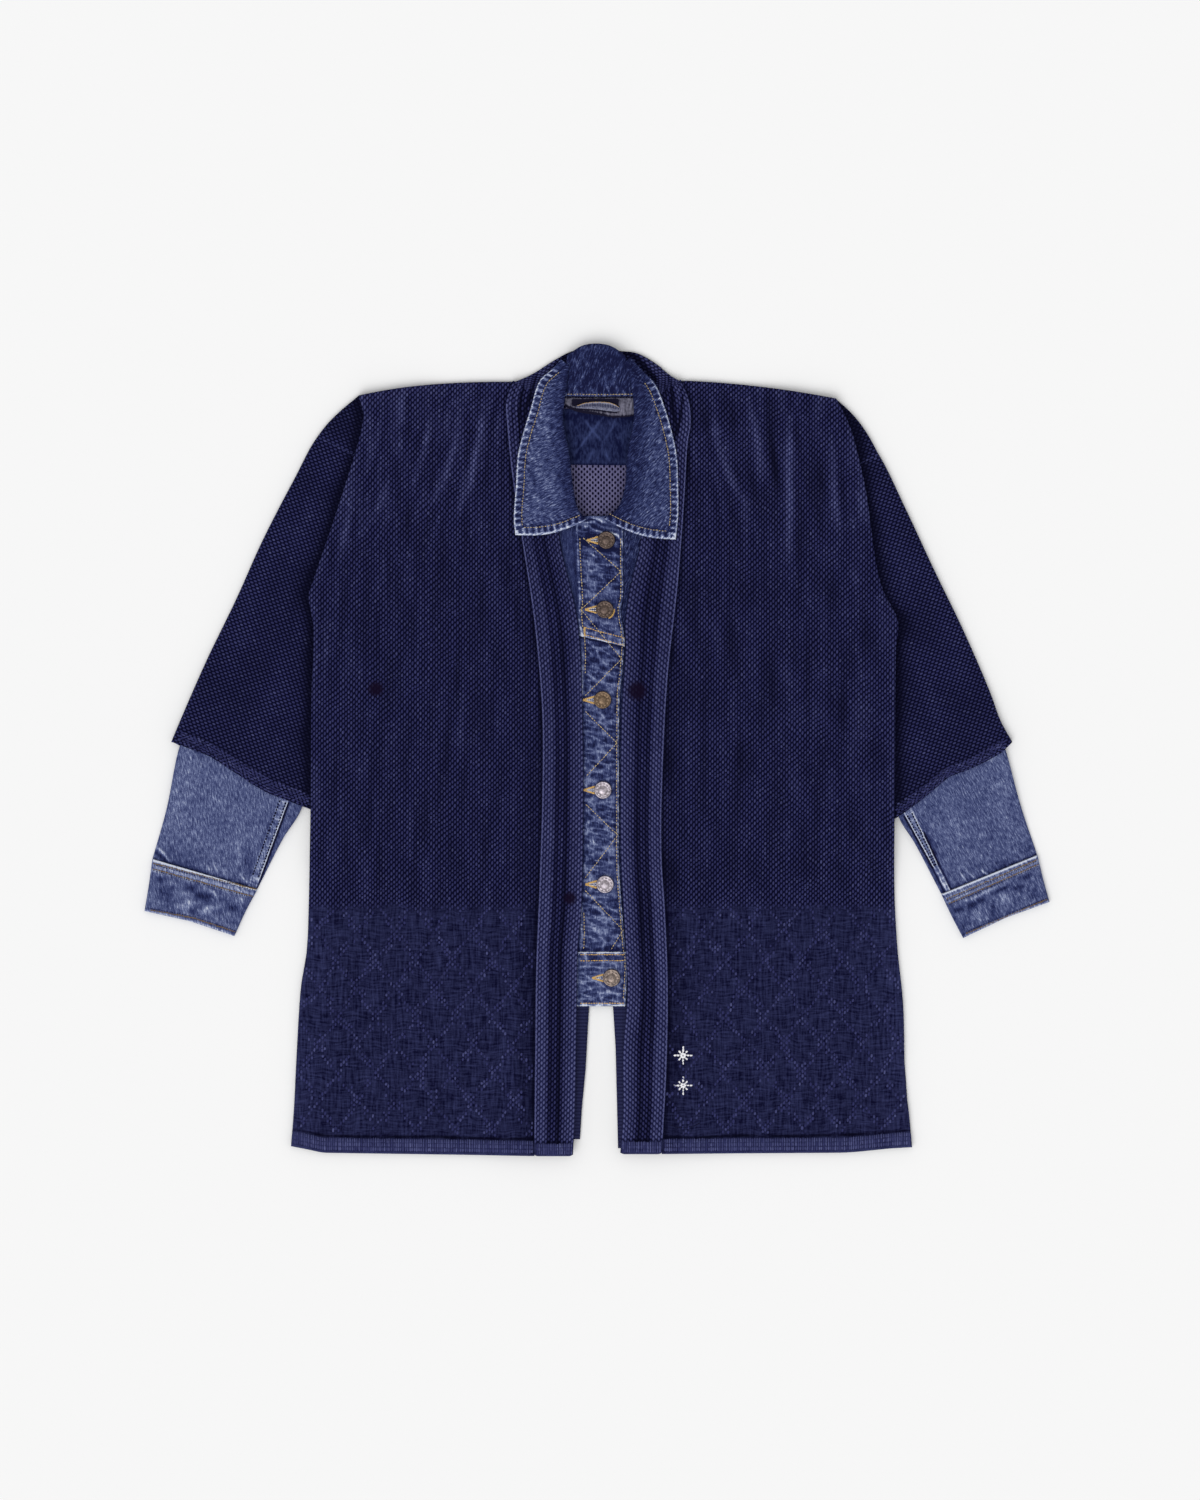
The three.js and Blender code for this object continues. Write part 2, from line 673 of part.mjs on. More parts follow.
function collarLeaf(side) {
  const outer = curve(side.leafOuter);
  const inner = curve(side.leafInner);
  const widthAt = (v) => Math.hypot(inner(v)[0] - outer(v)[0], inner(v)[1] - outer(v)[1]);
  const section = (v) => {
    const y = Math.min(outer(v)[1], inner(v)[1]) - 6;
    const width = widthAt(v);
    const base = bandBase(y) + bandWall + collarClear;
    return rolledSection(width, base, collarRollRise, Math.min(5, width / 4), 1.2);
  };
  const plan = (v, d) => {
    const u = d / widthAt(v);
    const [ox, oy] = outer(v);
    const [ix, iy] = inner(v);
    return [lerp(ox, ix, u), lerp(oy, iy, u) - 6 * Math.sin(Math.PI * u) * v ** 12];
  };
  return sectionSheet(steps(11), section, plan);
}

function collarBack() {
  const seamLine = curve([[-29.5, 353.6], [2, 353.2], [34, 353.6]]);
  const rollLine = curve([[-25.5, 397.5], [-12, 404.6], [4, 405.6], [14.6, 402.5], [23.5, 397]]);
  const widthAt = (v) => Math.hypot(rollLine(v)[0] - seamLine(v)[0], rollLine(v)[1] - seamLine(v)[1]);
  const section = (v) => rolledSection(widthAt(v), bandWall + collarClear, collarBackRise, collarBackTurn, 0);
  const plan = (v, d) => {
    const u = d / widthAt(v);
    return [lerp(seamLine(v)[0], rollLine(v)[0], u), lerp(seamLine(v)[1], rollLine(v)[1], u)];
  };
  return sectionSheet(steps(8), section, plan);
}

place('collar_left', collarLeaf(leftSide), denimColour);
place('collar_right', collarLeaf(rightSide), denimColour);
place('collar_back', collarBack(), denimDarkColour);

// Inside the neck: a plain lining on the back, a pale facing strip over its top and a hanger loop

function flatPiece(points, base, wall) {
  const shape = new THREE.Shape(points.map(([x, y]) => new THREE.Vector2(x, y)));
  const geometry = new THREE.ExtrudeGeometry(shape, { depth: wall, bevelEnabled: false });
  geometry.translate(0, 0, base);
  return geometry;
}

const liningOutline = [[-40, 341], [-40, 287], [-24, 285], [28, 284.5], [46, 287], [46, 341]];
const overLining = overBack + liningWall + seamGap;
const facingEdge = curve([[37, 335], [18, 334], [2, 337], [-12, 339], [-32, 343]]);
const facingOutline = [...steps(8).map(facingEdge), [-32, 351.5], [37, 351.5]];
place('neck_lining', flatPiece(liningOutline, overBack, liningWall), liningColour);
place('neck_facing', flatPiece(facingOutline, overLining, denimWall), facingColour);

const loopUpper = curve([[23, 347.5], [10, 349.3], [-6, 349], [-23, 345.5]]);
const loopLower = curve([[-23, 342.5], [-6, 344.6], [10, 345], [23, 343]]);
const loopOutline = [...steps(8).map(loopUpper), ...steps(8).map(loopLower)];
place('hanger_loop', flatPiece(loopOutline, overLining + denimWall + seamGap, denimWall), liningColour);

// Metal shank buttons: a dished face inside a raised rim, resting on the lapped denim

function button() {
  const profile = [
    [0, 0], [buttonRadius - 2.6, 0], [buttonRadius, 1.3], [buttonRadius, 2.3], [buttonRadius - 0.9, 3.2],
    [buttonRadius - 2.2, 2.7], [4, 3.2], [0, buttonHeight],
  ];
  const geometry = new THREE.LatheGeometry(profile.map(([r, z]) => new THREE.Vector2(r, z)), 14);
  geometry.rotateX(Math.PI / 2);
  return geometry;
}

const buttonPlaces = [[9.3, 209.6], [7.7, 140.3], [5.5, 50], [5.9, -40], [8, -134.2], [14.6, -227.6]];
buttonPlaces.forEach(([x, y], i) => {
  const colour = i === 3 || i === 4 ? silverColour : bronzeColour;
  const mesh = place(`button_${i + 1}`, button(), colour, { roughness: 0.4, metalness: 0.9 });
  mesh.position.set(x, y, overDenimLeft);
});

export default jacket;
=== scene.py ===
import math

import bpy
import numpy as np
from mathutils.kdtree import KDTree
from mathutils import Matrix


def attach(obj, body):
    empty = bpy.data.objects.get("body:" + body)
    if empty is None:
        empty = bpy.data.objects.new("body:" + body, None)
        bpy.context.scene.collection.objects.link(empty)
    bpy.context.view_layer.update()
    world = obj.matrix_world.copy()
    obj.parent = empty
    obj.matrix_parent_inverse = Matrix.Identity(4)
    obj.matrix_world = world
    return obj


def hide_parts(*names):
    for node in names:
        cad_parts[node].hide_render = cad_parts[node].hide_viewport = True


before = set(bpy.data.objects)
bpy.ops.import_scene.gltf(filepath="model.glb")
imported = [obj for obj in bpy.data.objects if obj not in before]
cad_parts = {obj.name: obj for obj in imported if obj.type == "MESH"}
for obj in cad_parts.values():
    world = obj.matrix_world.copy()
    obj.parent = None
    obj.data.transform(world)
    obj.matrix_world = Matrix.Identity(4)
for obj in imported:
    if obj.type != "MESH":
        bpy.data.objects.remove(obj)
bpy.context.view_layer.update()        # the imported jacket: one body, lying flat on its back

bpy.ops.object.select_all(action="DESELECT")
rng = np.random.default_rng(41)
mm = 0.001


# small maths, for single values and whole arrays

def lerp(a, b, t):
    return a + (b - a) * t


def smooth(t):
    t = np.clip(t, 0.0, 1.0)
    return t * t * (3 - 2 * t)


def between(value, start, end):
    return smooth((value - start) / (end - start))


def bell(distance, halfWidth):
    return np.exp(-(distance / halfWidth) ** 2)


# coordinates as points, with single values spread over the others
def joined(*parts):
    return np.stack(np.broadcast_arrays(*parts), -1)


def roundOver(distance, radius, drop):
    t = 1 - np.clip(distance / radius, 0, 1)
    return drop * (1 - np.sqrt(1 - t * t))


# x along an edge that runs down the jacket, from points listed from the top
def edgeLine(points):
    xs, ys = np.array(points, float).T
    last = len(xs) - 1
    order = np.arange(last + 1)
    before, after = np.maximum(order - 1, 0), np.minimum(order + 1, last)
    slopes = (xs[after] - xs[before]) / (ys[after] - ys[before])

    def at(y):
        y = np.asarray(y, float)
        i = (y[..., None] < ys[1:-1]).sum(-1)
        span = ys[i + 1] - ys[i]
        t = np.clip((y - ys[i]) / span, 0, 1)
        rise = xs[i + 1] - xs[i]
        startBend = slopes[i] * span - rise
        endBend = slopes[i + 1] * span - rise
        return xs[i] + rise * t + t * (1 - t) * ((1 - t) * startBend - t * endBend)
    return at


# smooth curve through flat points, by a share with equal shares between points
def curveLine(points):
    p = np.array(points, float)
    padded = np.vstack([2 * p[0] - p[1], p, 2 * p[-1] - p[-2]])
    count = len(p) - 1

    def at(share):
        place = np.clip(np.asarray(share, float), 0, 1) * count
        i = np.minimum(place.astype(int), count - 1)
        t = (place - i)[..., None]
        a, b, c, d = (padded[i + k] for k in range(4))
        ab, bc, cd = (np.maximum(((q - r) ** 2).sum(-1), 1e-9)[..., None] ** 0.25
                      for q, r in ((b, a), (c, b), (d, c)))
        start = ((b - a) / ab - (c - a) / (ab + bc) + (c - b) / bc) * bc
        end = ((c - b) / bc - (d - b) / (bc + cd) + (d - c) / cd) * bc
        t2, t3 = t * t, t ** 3
        return (2 * t3 - 3 * t2 + 1) * b + (t3 - 2 * t2 + t) * start + (3 * t2 - 2 * t3) * c + (t3 - t2) * end
    return at


# creases as (half width, height, x, y, x, y ...), in millimetres of the jacket
def creaseRows(*rows):
    return [(np.reshape(row[2:], (-1, 2)), *row[:2]) for row in rows]


# soft ridges (or troughs, with a height below 0) along listed lines
def creaseField(x, y, creases):
    total = np.zeros(np.shape(x))
    for line, halfWidth, height in creases:
        p = np.array(line, float)
        runs = np.linalg.norm(np.diff(p, axis=0), axis=1)
        best, share = np.full(total.shape, 1e9), np.zeros(total.shape)
        for i, run in enumerate(runs):
            d = p[i + 1] - p[i]
            t = np.clip(((x - p[i, 0]) * d[0] + (y - p[i, 1]) * d[1]) / (run * run), 0, 1)
            away = np.hypot(x - p[i, 0] - t * d[0], y - p[i, 1] - t * d[1])
            share = np.where(away < best, (runs[:i].sum() + t * run) / runs.sum(), share)
            best = np.minimum(best, away)
        total += height * bell(best, halfWidth) * np.sin(np.pi * np.clip(share, 0.03, 0.97)) ** 0.5
    return total


# height by straight runs between listed places
def knots(points):
    xs, ys = np.array(sorted(points), float).T
    return lambda x: np.interp(x, xs, ys)


def level(value):
    return lambda at: value + 0 * at


# smooth random undulation on a plan, the same each run
def ripple(x, y, size, seed, stretch=1.0):
    pick = np.random.default_rng(seed)
    total = np.zeros(np.shape(x))
    for _ in range(9):
        angle, phase = pick.uniform(0, 2 * np.pi, 2)
        wave = 2 * np.pi / (size * pick.uniform(0.6, 1.6))
        total += np.sin(wave * (x * np.cos(angle) + y * np.sin(angle) / stretch) + phase)
    return total / 4.5


# places read off the photograph in its pixels, as millimetres of the jacket
def fromPhoto(*places):
    return [(px - 597, 750 - py) for px, py in places]


def photoCreases(*rows):
    return [(fromPhoto(*line), half, height) for line, half, height in creaseRows(*rows)]


# the closed wall of a cloth piece: a fine upper side, a sparse underside and a rim zipped between them

def rimFaces(points, first, second):
    def shares(line):
        runs = np.concatenate([[0], np.cumsum(np.linalg.norm(np.diff(points[line], axis=0), axis=1))])
        return runs / runs[-1]
    a, b = shares(first), shares(second)
    faces, i, j = [], 0, 0
    while i < len(first) - 1 or j < len(second) - 1:
        nextA = a[i + 1] if i < len(first) - 1 else 2
        nextB = b[j + 1] if j < len(second) - 1 else 2
        if nextB <= nextA:
            faces.append((second[j], second[j + 1], first[i]))
            j += 1
        else:
            faces.append((second[j], first[i + 1], first[i]))
            i += 1
    return np.array(faces)


def gridFaces(index):
    return joined(index[:-1, :-1], index[1:, :-1], index[1:, 1:], index[:-1, 1:]).reshape(-1, 4)


def clothWall(top, under, tube=False):
    points = np.concatenate([top.reshape(-1, 3), under.reshape(-1, 3)])
    topIndex = np.arange(top.shape[0] * top.shape[1]).reshape(top.shape[:2])
    underIndex = topIndex.size + np.arange(under.shape[0] * under.shape[1]).reshape(under.shape[:2])
    if tube:
        topIndex = np.concatenate([topIndex, topIndex[:, :1]], 1)
        underIndex = np.concatenate([underIndex, underIndex[:, :1]], 1)
        rims = [(underIndex[0], topIndex[0]), (topIndex[-1], underIndex[-1])]
    else:
        def sides(i):
            return [i[:, 0], i[-1], i[::-1, -1], i[0, ::-1]]
        rims = list(zip(sides(topIndex), sides(underIndex)))
    quads = np.concatenate([gridFaces(topIndex), gridFaces(underIndex)[:, ::-1]])
    triangles = np.concatenate([rimFaces(points, list(a), list(b)) for a, b in rims])
    return points, quads, triangles


def outward(points, quads, triangles):
    whole = np.concatenate([quads[:, [0, 1, 2]], quads[:, [0, 2, 3]], triangles])
    a, b, c = (points[whole[:, k]] for k in range(3))
    if (a * np.cross(b, c)).sum() < 0:
        return quads[:, ::-1], triangles[:, ::-1]
    return quads, triangles


noTriangles = np.zeros((0, 3), int)


# points in millimetres to an object at the origin, with a cloth map in tenths of a metre and marks per point
def makePiece(name, points, quads, triangles, finish, cloth=None, marks=None, angle=55, closed=True):
    if closed:
        quads, triangles = outward(points, quads, triangles)
    mesh = bpy.data.meshes.new(name)
    mesh.from_pydata((points * mm).tolist(), [], quads.tolist() + triangles.tolist())
    for markName, values in (marks or {}).items():
        mark = mesh.attributes.new(markName, "FLOAT", "POINT")
        full = np.zeros(len(points), np.float32)
        full[:values.size] = values.ravel()
        mark.data.foreach_set("value", full)
    if cloth is not None:
        corner = np.zeros(len(mesh.loops), np.int32)
        mesh.loops.foreach_get("vertex_index", corner)
        laid = cloth(points) if callable(cloth) else cloth
        layer = mesh.uv_layers.new(name="clothMap")
        layer.uv.foreach_set("vector", (laid / 100)[corner].astype(np.float32).ravel())
    mesh.materials.append(finish)
    piece = bpy.data.objects.new(name, mesh)
    bpy.context.scene.collection.objects.link(piece)
    bpy.ops.object.select_all(action="DESELECT")
    piece.select_set(True)
    bpy.context.view_layer.objects.active = piece
    bpy.ops.object.shade_smooth_by_angle(angle=math.radians(angle))
    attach(piece, "root")
    return piece


def flatCloth(points):
    return points[:, :2]


def standFor(node, slotName):
    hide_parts(node)


def wallArea(top):
    a, b, c, d = top[:-1, :-1], top[1:, :-1], top[1:, 1:], top[:-1, 1:]
    return (np.linalg.norm(np.cross(b - a, c - a), axis=-1).sum()
            + np.linalg.norm(np.cross(c - a, d - a), axis=-1).sum()) / 2 * mm * mm


# Shader values with plain arithmetic, and a builder for each finish

class Tone:
    def __init__(self, finish, socket):
        self.finish, self.socket = finish, socket

    def op(self, operation, *others, clamp=False):
        sockets = {i: v for i, v in enumerate((self,) + others)}
        made = self.finish.node("ShaderNodeMath", {"operation": operation, "use_clamp": clamp}, sockets)
        return Tone(self.finish, made.outputs[0])

    def back(self, operation, other):
        made = self.finish.node("ShaderNodeMath", {"operation": operation}, {0: other, 1: self})
        return Tone(self.finish, made.outputs[0])

    def __add__(self, other):
        return self.op("ADD", other)

    __radd__ = __add__

    def __sub__(self, other):
        return self.op("SUBTRACT", other)

    def __rsub__(self, other):
        return self.back("SUBTRACT", other)

    def __mul__(self, other):
        return self.op("MULTIPLY", other)

    __rmul__ = __mul__

    def __truediv__(self, other):
        return self.op("DIVIDE", other)

    def __rtruediv__(self, other):
        return self.back("DIVIDE", other)

    def clamp(self):
        return self.op("ADD", 0.0, clamp=True)

    def step(self, start, end):
        settings = {"interpolation_type": "SMOOTHSTEP"}
        low, high, toLow, toHigh = (start, end, 0.0, 1.0) if start < end else (end, start, 1.0, 0.0)
        made = self.finish.node("ShaderNodeMapRange", settings,
                                {"Value": self, "From Min": low, "From Max": high, "To Min": toLow, "To Max": toHigh})
        return Tone(self.finish, made.outputs[0])


class Finish:
    def __init__(self, name, roughness=0.9, metallic=0.0, shine=0.03):
        self.material = bpy.data.materials.new(name)
        self.material.use_nodes = True
        self.tree = self.material.node_tree
        self.tree.nodes.clear()
        self.shader = self.node("ShaderNodeBsdfPrincipled", {}, {"Roughness": roughness, "Metallic": metallic,
                                                                 "Specular IOR Level": shine})
        self.node("ShaderNodeOutputMaterial", {}, {"Surface": self.shader.outputs[0]})

    def node(self, kind, settings, sockets):
        made = self.tree.nodes.new(kind)
        for key, value in settings.items():
            if key == "stops":
                while len(made.color_ramp.elements) < len(value):
                    made.color_ramp.elements.new(0.5)
                for element, (place, colour) in zip(made.color_ramp.elements, value):
                    element.position, element.color = place, colour
            else:
                setattr(made, key, value)
        for key, value in sockets.items():
            if isinstance(value, Tone):
                value = value.socket
            if isinstance(value, bpy.types.NodeSocket):
                self.tree.links.new(value, made.inputs[key])
            else:
                made.inputs[key].default_value = value
        return made

    def tone(self, kind, settings, sockets, output=0):
        return Tone(self, self.node(kind, settings, sockets).outputs[output])

    def feed(self, **sockets):
        names = {"colour": "Base Color", "roughness": "Roughness", "normal": "Normal"}
        for key, value in sockets.items():
            self.tree.links.new(value.socket, self.shader.inputs[names[key]])

    def mix(self, amount, a, b):
        return self.tone("ShaderNodeMix", {"data_type": "RGBA"}, {0: amount, 6: a, 7: b}, 2)

    def clothPlace(self):
        uv = self.tone("ShaderNodeUVMap", {"uv_map": "clothMap"}, {})
        return self.scaled(uv, 100, 100)

    def bodyPlace(self):
        place = self.tone("ShaderNodeTexCoord", {}, {}, "Object")
        return self.scaled(place, 1000, 1000, 1000)

    def scaled(self, vector, x, y, z=1.0):
        return self.tone("ShaderNodeVectorMath", {"operation": "MULTIPLY"}, {0: vector, 1: (x, y, z)})

    def split(self, vector):
        made = self.node("ShaderNodeSeparateXYZ", {}, {0: vector})
        return [Tone(self, made.outputs[k]) for k in range(3)]

    def noise(self, vector, scale, detail=2.0, rough=0.5):
        return self.tone("ShaderNodeTexNoise", {}, {"Vector": vector, "Scale": scale, "Detail": detail,
                                                    "Roughness": rough})

    def mark(self, name):
        return self.tone("ShaderNodeAttribute", {"attribute_name": name}, {}, "Fac")

    def bump(self, height, distance, strength=1.0):
        return self.tone("ShaderNodeBump", {}, {"Height": height, "Distance": distance, "Strength": strength})


def rgb(r, g, b):
    def linear(c):
        c /= 255
        return c / 12.92 if c <= 0.04045 else ((c + 0.055) / 1.055) ** 2.4
    return (linear(r), linear(g), linear(b), 1.0)


# Camera straight above, as in the photograph: 1 mm of cloth to 1 pixel of a 1200 by 1500 image

view = {"middle": (0.003, 0.0), "height": 6.0, "tall": 1.5, "sensor": 36.0, "far": 60.0}
bpy.ops.object.camera_add(location=(*view["middle"], view["height"]), rotation=(0, 0, 0))
camera = bpy.context.object
camera.name = "camera"
camera.data.sensor_width = view["sensor"]
camera.data.lens = view["sensor"] * view["height"] / view["tall"]
camera.data.clip_end = view["far"]
bpy.context.scene.camera = camera

# Pale floor and soft, nearly even light

studio = {"floor": 12.0, "floorAt": -0.0004, "floorColour": rgb(247, 247, 247), "fill": 0.61, "key": 1.48,
          "keySoft": 0.9, "keyTurn": (math.radians(34), 0.0, math.radians(-24))}
bpy.context.scene.view_settings.view_transform = "Standard"
bpy.ops.mesh.primitive_plane_add(size=studio["floor"], location=(0, 0, studio["floorAt"]))
floor = bpy.context.object
floor.name = "floor"
bpy.ops.object.transform_apply(location=True, rotation=True, scale=True)
floorFinish = Finish("floorPaper", roughness=0.95)
floorFinish.shader.inputs["Base Color"].default_value = studio["floorColour"]
floor.data.materials.append(floorFinish.material)
bpy.ops.object.light_add(type="SUN", location=(0, 0, 3), rotation=studio["keyTurn"])
key = bpy.context.object
key.name = "key"
key.data.energy, key.data.angle = studio["key"], studio["keySoft"]
world = bpy.data.worlds.new("studio")
bpy.context.scene.world = world
world.use_nodes = True
world.node_tree.nodes["Background"].inputs["Color"].default_value = (1, 1, 1, 1)
world.node_tree.nodes["Background"].inputs["Strength"].default_value = studio["fill"]
print("stage: camera, floor and light")


# Outlines in millimetres, close to those of the solids. Left and right are the viewer's.

layers = {"overBack": 2.8, "overRight": 4.3, "overLeft": 7.0,
          "sinkStart": 250, "sinkEnd": 310, "shoulder": 368, "hem": -396}

leftSide = {
    "sign": -1,
    "sideEdge": edgeLine([(-238, 353.5), (-233, 334), (-242, 296), (-262, 233), (-284, 168), (-288, 154), (-283, 120),
                          (-285, 57), (-286, -59), (-288, -150), (-290, -200), (-296, -238), (-300, -300),
                          (-303, -360), (-306, -398)]),
    "bandSeam": edgeLine([(-84, 368), (-91, 349), (-90, 324), (-85, 274), (-75, 209), (-63, 129), (-55, 37),
                          (-55, -50), (-58, -142), (-61, -218), (-62, -302), (-63, -405)]),
    "bandInner": edgeLine([(-46, 349), (-42, 297), (-37, 209), (-31, 181), (-22, 144), (-17.5, 113), (-14.6, 52),
                           (-13.5, -50), (-15.2, -157), (-19, -197), (-20, -249), (-22, -363), (-24, -405)]),
    "shoulder": lambda u: 368 - 14 * (1 - u) ** 2.5,
    "hem": lambda u: -396 - 6 * smooth(u / 0.15) - 3.5 * u,
    "bandTop": (368, 349),
    "sleeveOuter": [(-237.5, 354.8), (-278, 315), (-303, 270), (-334, 210), (-361, 150), (-390, 90), (-412, 40),
                    (-425.5, 8)],
    "sleeveInner": [(-223, 342), (-229, 292), (-242, 241), (-263, 175), (-267, 104), (-270, 32), (-274, -30),
                    (-277, -63)],
    "bulge": 1.5, "roping": (0.09, 0.16),
    "hemSag": knots([(0, 0), (0.1, 3.2), (0.21, 5.0), (0.336, 3.0), (0.434, 0.2), (0.53, -3.0), (0.643, -5.0),
                     (0.755, -3.4), (0.84, -0.6), (1, 0)]),
    "denimOuter": [(-401, 42), (-417, 4), (-430, -58), (-444.3, -108.6)],
    "denimInner": [(-288, -12), (-295, -58), (-314, -89), (-339.6, -139)],
    "cuffOuter": [(-444.4, -109), (-448, -135), (-452.3, -161)],
    "cuffInner": [(-339.5, -139.6), (-350.5, -160), (-362.5, -186)],
    "neckOuter": [(-85.0, 366.6), (-65, 375.5), (-43.5, 389), (-25, 398.5), (-1.2, 402.5)],
    "neckInner": [(-58.8, 354.0), (-45, 354.6), (-28, 353.4), (-13, 352.6), (-1.2, 352.4)],
    "leafOuter": [(-36, 390), (-45, 380), (-57, 369), (-66.5, 340), (-78.5, 297), (-81, 262), (-83, 231),
                  (-81.5, 214.5)],
    "leafInner": [(-27, 383), (-28.5, 375), (-31, 357), (-33.6, 331), (-27.5, 296), (-23.6, 262), (-18.5, 240),
                  (-10, 229.5)],
    "grooves": [(0.36, 0.05, 1.0), (0.60, 0.06, 1.1)],
}

rightSide = {
    "sign": 1,
    "sideEdge": edgeLine([(239, 350.5), (247.5, 335), (255, 317), (262, 290), (269, 257), (280, 181), (290, 149),
                          (299, 135), (301, 122), (298.5, 100), (297.5, -26), (297, -130), (300, -195), (306, -255),
                          (308, -330), (312, -365), (315, -398)]),
    "bandSeam": edgeLine([(84, 369), (92, 350), (94, 325), (91, 307), (88, 257), (84.6, 208), (80.5, 160),
                          (70.5, 68), (65, -50), (65, -111), (68, -157), (71, -234), (69.7, -317), (65, -405)]),
    "bandInner": edgeLine([(50, 349), (49, 297), (43, 205), (36, 175), (31, 150), (28, 125), (28.4, 98), (24.6, 37),
                           (23.6, -50), (24, -111), (26.4, -157), (28.8, -203), (30.4, -241), (26, -302), (26, -363),
                           (23, -405)]),
    "shoulder": lambda u: 369 - 18 * (1 - u) ** 1.6,
    "hem": lambda u: -397 - 5 * smooth(u / 0.3) - 1.5 * u,
    "bandTop": (369, 349),
    "sleeveOuter": [(240, 350), (280, 298), (309, 240), (337, 180), (366, 120), (392, 60), (403.5, 29), (415, 8)],
    "sleeveInner": [(224, 341), (243, 281), (252, 212), (270, 147), (276, 76), (280, 5), (284, -42), (288, -75)],
    "bulge": 5.0, "roping": (0.2, 0.27),
    "hemSag": knots([(0, 0), (0.08, -3.6), (0.2, -2.3), (0.31, 0), (0.39, 2.4), (0.46, 5.6), (0.525, 7.2),
                     (0.57, 6.2), (0.63, 3.4), (0.7, 1.7), (0.83, 0), (1, 0)]),
    "denimOuter": [(394, 40), (408, 1), (423, -54), (440, -104.6)],
    "denimInner": [(291, -22), (301, -66), (318, -94), (344, -143.6)],
    "cuffOuter": [(440.3, -105), (446, -129), (452.3, -152)],
    "cuffInner": [(344.2, -144.2), (354, -165), (366, -188)],
    "neckOuter": [(85.0, 367.4), (73, 374.5), (59, 386), (40, 396.5), (22, 399), (-0.4, 402.5)],
    "neckInner": [(58.8, 354.0), (48, 355), (36, 353.8), (22, 353), (10, 352.6), (-0.4, 352.4)],
    "leafOuter": [(33, 392), (48, 376), (57.5, 366), (67, 344), (79, 298), (81, 262), (81, 232), (78.5, 210)],
    "leafInner": [(27, 386), (31.5, 374), (35, 357), (36.5, 332), (30, 296), (27.6, 262), (20, 241), (6, 231)],
    "grooves": [(0.37, 0.05, 1.0), (0.63, 0.055, 1.1)],
}

bothSides = ((leftSide, "Left"), (rightSide, "Right"))


def bandBase(y):
    return lerp(layers["overLeft"], layers["overBack"], between(y, layers["sinkStart"], layers["sinkEnd"]))


# Finishes

grain = {"across": 2.65, "along": 5.25, "halfWide": 1.0, "halfLong": 1.75, "height": 0.5, "lean": 0.12,
         "wideSpread": (0.78, 1.16), "longSpread": (0.75, 1.16), "tallSpread": (0.75, 1.15), "turnSpread": 0.06,
         "sink": 0.12}
diamond = {"wide": 19.4, "tall": 28.3, "at": (-240, -294), "band": 0.085, "shadow": 0.17, "top": -155}


# 1 on a thread grain of the rice-stitch weave, 0 on the ground between grains
def grainMask(x, y, lean=0.0):
    column = x / grain["across"]
    shift = (column.op("FLOOR") / 2).op("FRACT")
    aside = (column.op("FRACT") - 0.5) * (grain["across"] / grain["halfWide"])
    alongIt = ((y / grain["along"] + shift).op("FRACT") - 0.5) * (grain["along"] / grain["halfLong"])
    aside = aside - alongIt * (lean * grain["halfLong"] / grain["halfWide"])
    return (aside * aside + alongIt * alongIt).step(1.5, 0.35)


# distance from the nearest diamond line of the quilted skirt, as a share of the pattern
def diamondDistance(x, y):
    a = (x - diamond["at"][0]) / (2 * diamond["wide"])
    b = (y - diamond["at"][1]) / (2 * diamond["tall"])
    lines = []
    for line in (a + b, a - b):
        lines.append(((line.op("FRACT") - 0.5).op("ABSOLUTE") - 0.5).op("ABSOLUTE"))
    return lines[0].op("MINIMUM", lines[1])


tieMarks = [((-221, 61), 8.2), ((40, 59), 10.5), ((-27, -148), 7.0)]


def tieMarkMask(finish, place):
    total = None
    for (x, y), size in tieMarks:
        away = finish.tone("ShaderNodeVectorMath", {"operation": "DISTANCE"},
                           {0: finish.scaled(place, 1, 1, 0), 1: (x, y, 0)}, "Value")
        spot = away.step(size * 1.25, size * 0.45)
        total = spot if total is None else total.op("MAXIMUM", spot)
    return total


slub = {"weft": (0.06, 0.5), "warp": (0.48, 0.05), "detail": 2.0, "rough": 0.6}
# indigo tones of the cloth; hollow is the colour of painted shade, towards which the cloth darkens in creases,
# grooves and shadows
indigo = {"ground": rgb(8, 8, 34), "groundFaded": rgb(35, 37, 75), "grain": rgb(49, 51, 94),
          "grainFaded": rgb(90, 94, 138), "slubDark": rgb(10, 10, 40), "slubLight": rgb(54, 58, 98),
          "hollow": rgb(6, 6, 24), "stain": rgb(18, 9, 30)}


